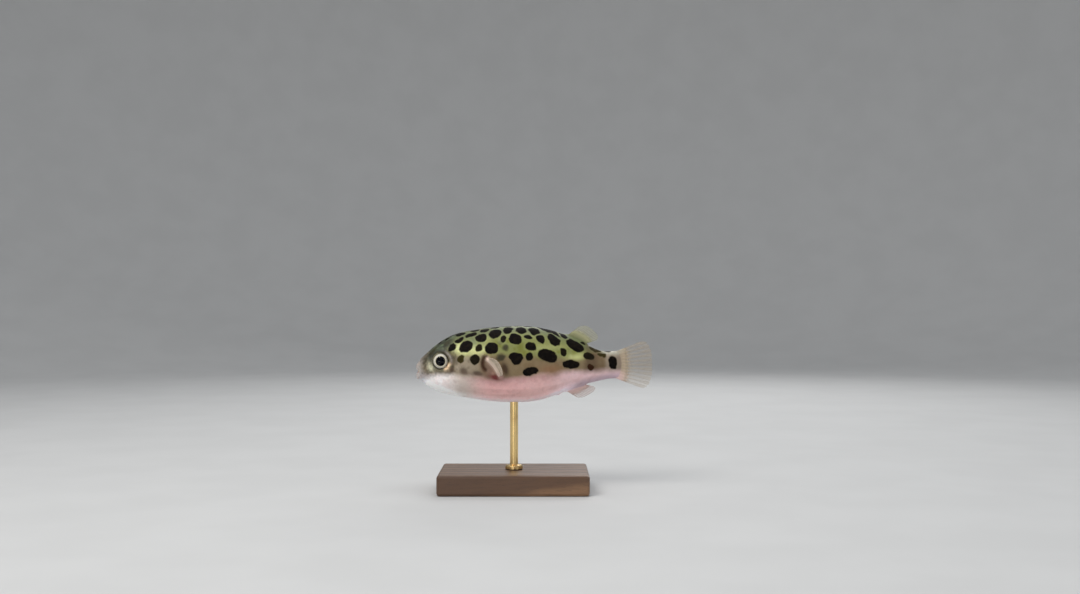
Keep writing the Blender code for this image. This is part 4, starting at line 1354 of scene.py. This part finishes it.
ball_mat, cornea_mat = eyeball_material(), cornea_material()
for side, word in ((1, "left"), (-1, "right")):
    ball, cornea = build_eye("puffer_eye_" + word, side, ball_mat, cornea_mat)
    for piece in (ball, cornea):
        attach(piece, "root")
    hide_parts("eye_" + word)

tooth_mat = beak_material()
for word, sign in (("upper", 1), ("lower", -1)):
    plate = build_beak("tooth_plate_" + word, sign, tooth_mat)
    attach(plate, "root")
    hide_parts("beak_" + word)

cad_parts["stand_base"].data.materials.clear()
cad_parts["stand_base"].data.materials.append(wood_material())
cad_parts["stand_rod"].data.materials.clear()
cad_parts["stand_rod"].data.materials.append(brass_material())
rod_low, rod_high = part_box("stand_rod")
rod_x, rod_y = (rod_low.x + rod_high.x) / 2 / MM, (rod_low.y + rod_high.y) / 2 / MM
washer = ring_piece("stand_washer", rod_x, rod_y, 5.97, 6.33, 1.25, 2.45)
washer.data.materials.append(felt_material())
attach(washer, "root")


# ------------------------------------------------------------------ stage, light, camera
def stage_material():
    n = Nodes("paper")
    n.set(Base_Color=n.mix(n.span(n.noise(30, 2), 0.3, 0.7), (0.55, 0.55, 0.545), (0.57, 0.57, 0.565)), Roughness=0.85)
    n.shader.inputs["Specular IOR Level"].default_value = 0.2
    return n.mat


def build_stage():
    """A round sweep of paper: a flat floor that curves up into a wall on every side."""
    floor, curve, wall = 0.62, 0.40, 0.55
    profile = [(floor * k / 6, 0.0) for k in range(7)]
    profile += [(floor + curve * math.sin(a), curve * (1 - math.cos(a))) for a in np.linspace(0, PI / 2, 25)[1:]]
    profile += [(floor + curve, curve + wall * k / 4) for k in range(1, 5)]
    segments = 96
    verts = [(0, 0, 0)]
    for r, z in profile[1:]:
        verts += [(r * math.cos(2 * PI * j / segments), r * math.sin(2 * PI * j / segments), z) for j in range(segments)]
    faces = [(0, 1 + j, 1 + (j + 1) % segments) for j in range(segments)]
    for i in range(len(profile) - 2):
        for j in range(segments):
            k = (j + 1) % segments
            faces.append((1 + i * segments + j, 1 + (i + 1) * segments + j, 1 + (i + 1) * segments + k, 1 + i * segments + k))
    o = add_object("paper_sweep", verts, faces)
    o.data.materials.append(stage_material())
    o.location.z = -0.00002
    return o


build_stage()


def area_light(name, place, target, size, power, colour=(1, 1, 1), spread=180):
    data = bpy.data.lights.new(name, 'AREA')
    data.shape = 'DISK'
    data.size = size
    data.energy = power
    data.spread = math.radians(spread)
    data.color = colour
    o = bpy.data.objects.new(name, data)
    bpy.context.scene.collection.objects.link(o)
    o.location = place
    o.rotation_mode = 'QUATERNION'
    o.rotation_quaternion = (Vector(target) - Vector(place)).to_track_quat('-Z', 'Y')
    return o


FOCUS = (0.0, 0.0, 0.035)
area_light("key", (0.34, -0.30, 0.50), FOCUS, 0.34, 2.35, (1.0, 0.985, 0.96))
area_light("top", (-0.05, 0.05, 0.62), FOCUS, 0.45, 1.1, (0.97, 0.985, 1.0))
area_light("fill", (0.42, 0.36, 0.22), FOCUS, 0.40, 0.45, (0.95, 0.975, 1.0))
area_light("rim", (-0.42, 0.10, 0.34), FOCUS, 0.36, 0.8)
area_light("low", (0.46, -0.14, 0.035), FOCUS, 0.34, 0.125, (1.0, 0.985, 0.97), 80)
world = bpy.data.worlds.new("studio")
world.use_nodes = True
world.node_tree.nodes["Background"].inputs["Color"].default_value = (0.90, 0.94, 1.0, 1)
world.node_tree.nodes["Background"].inputs["Strength"].default_value = 0.42
bpy.context.scene.world = world

# The lens sees 320.3 mm across at the fish, with the fish 5.7 px left of and 67 px below
# the middle of a 1080 px wide frame.
SPAN_AT_FISH = 320.3
DISTANCE = 380.0
camera_data = bpy.data.cameras.new("camera")
camera_data.sensor_width = 36.0
camera_data.lens = 36.0 * DISTANCE / SPAN_AT_FISH
camera_data.clip_start = 0.005
camera_data.clip_end = 20.0
camera = bpy.data.objects.new("camera", camera_data)
bpy.context.scene.collection.objects.link(camera)
camera.location = (DISTANCE * MM, 0.0017, (AXIS_LEVEL + 19.9) * MM)
camera.rotation_mode = 'QUATERNION'
camera.rotation_quaternion = Vector((-1, 0, 0)).to_track_quat('-Z', 'Y')
bpy.context.scene.camera = camera
bpy.context.scene.view_settings.view_transform = 'Standard'
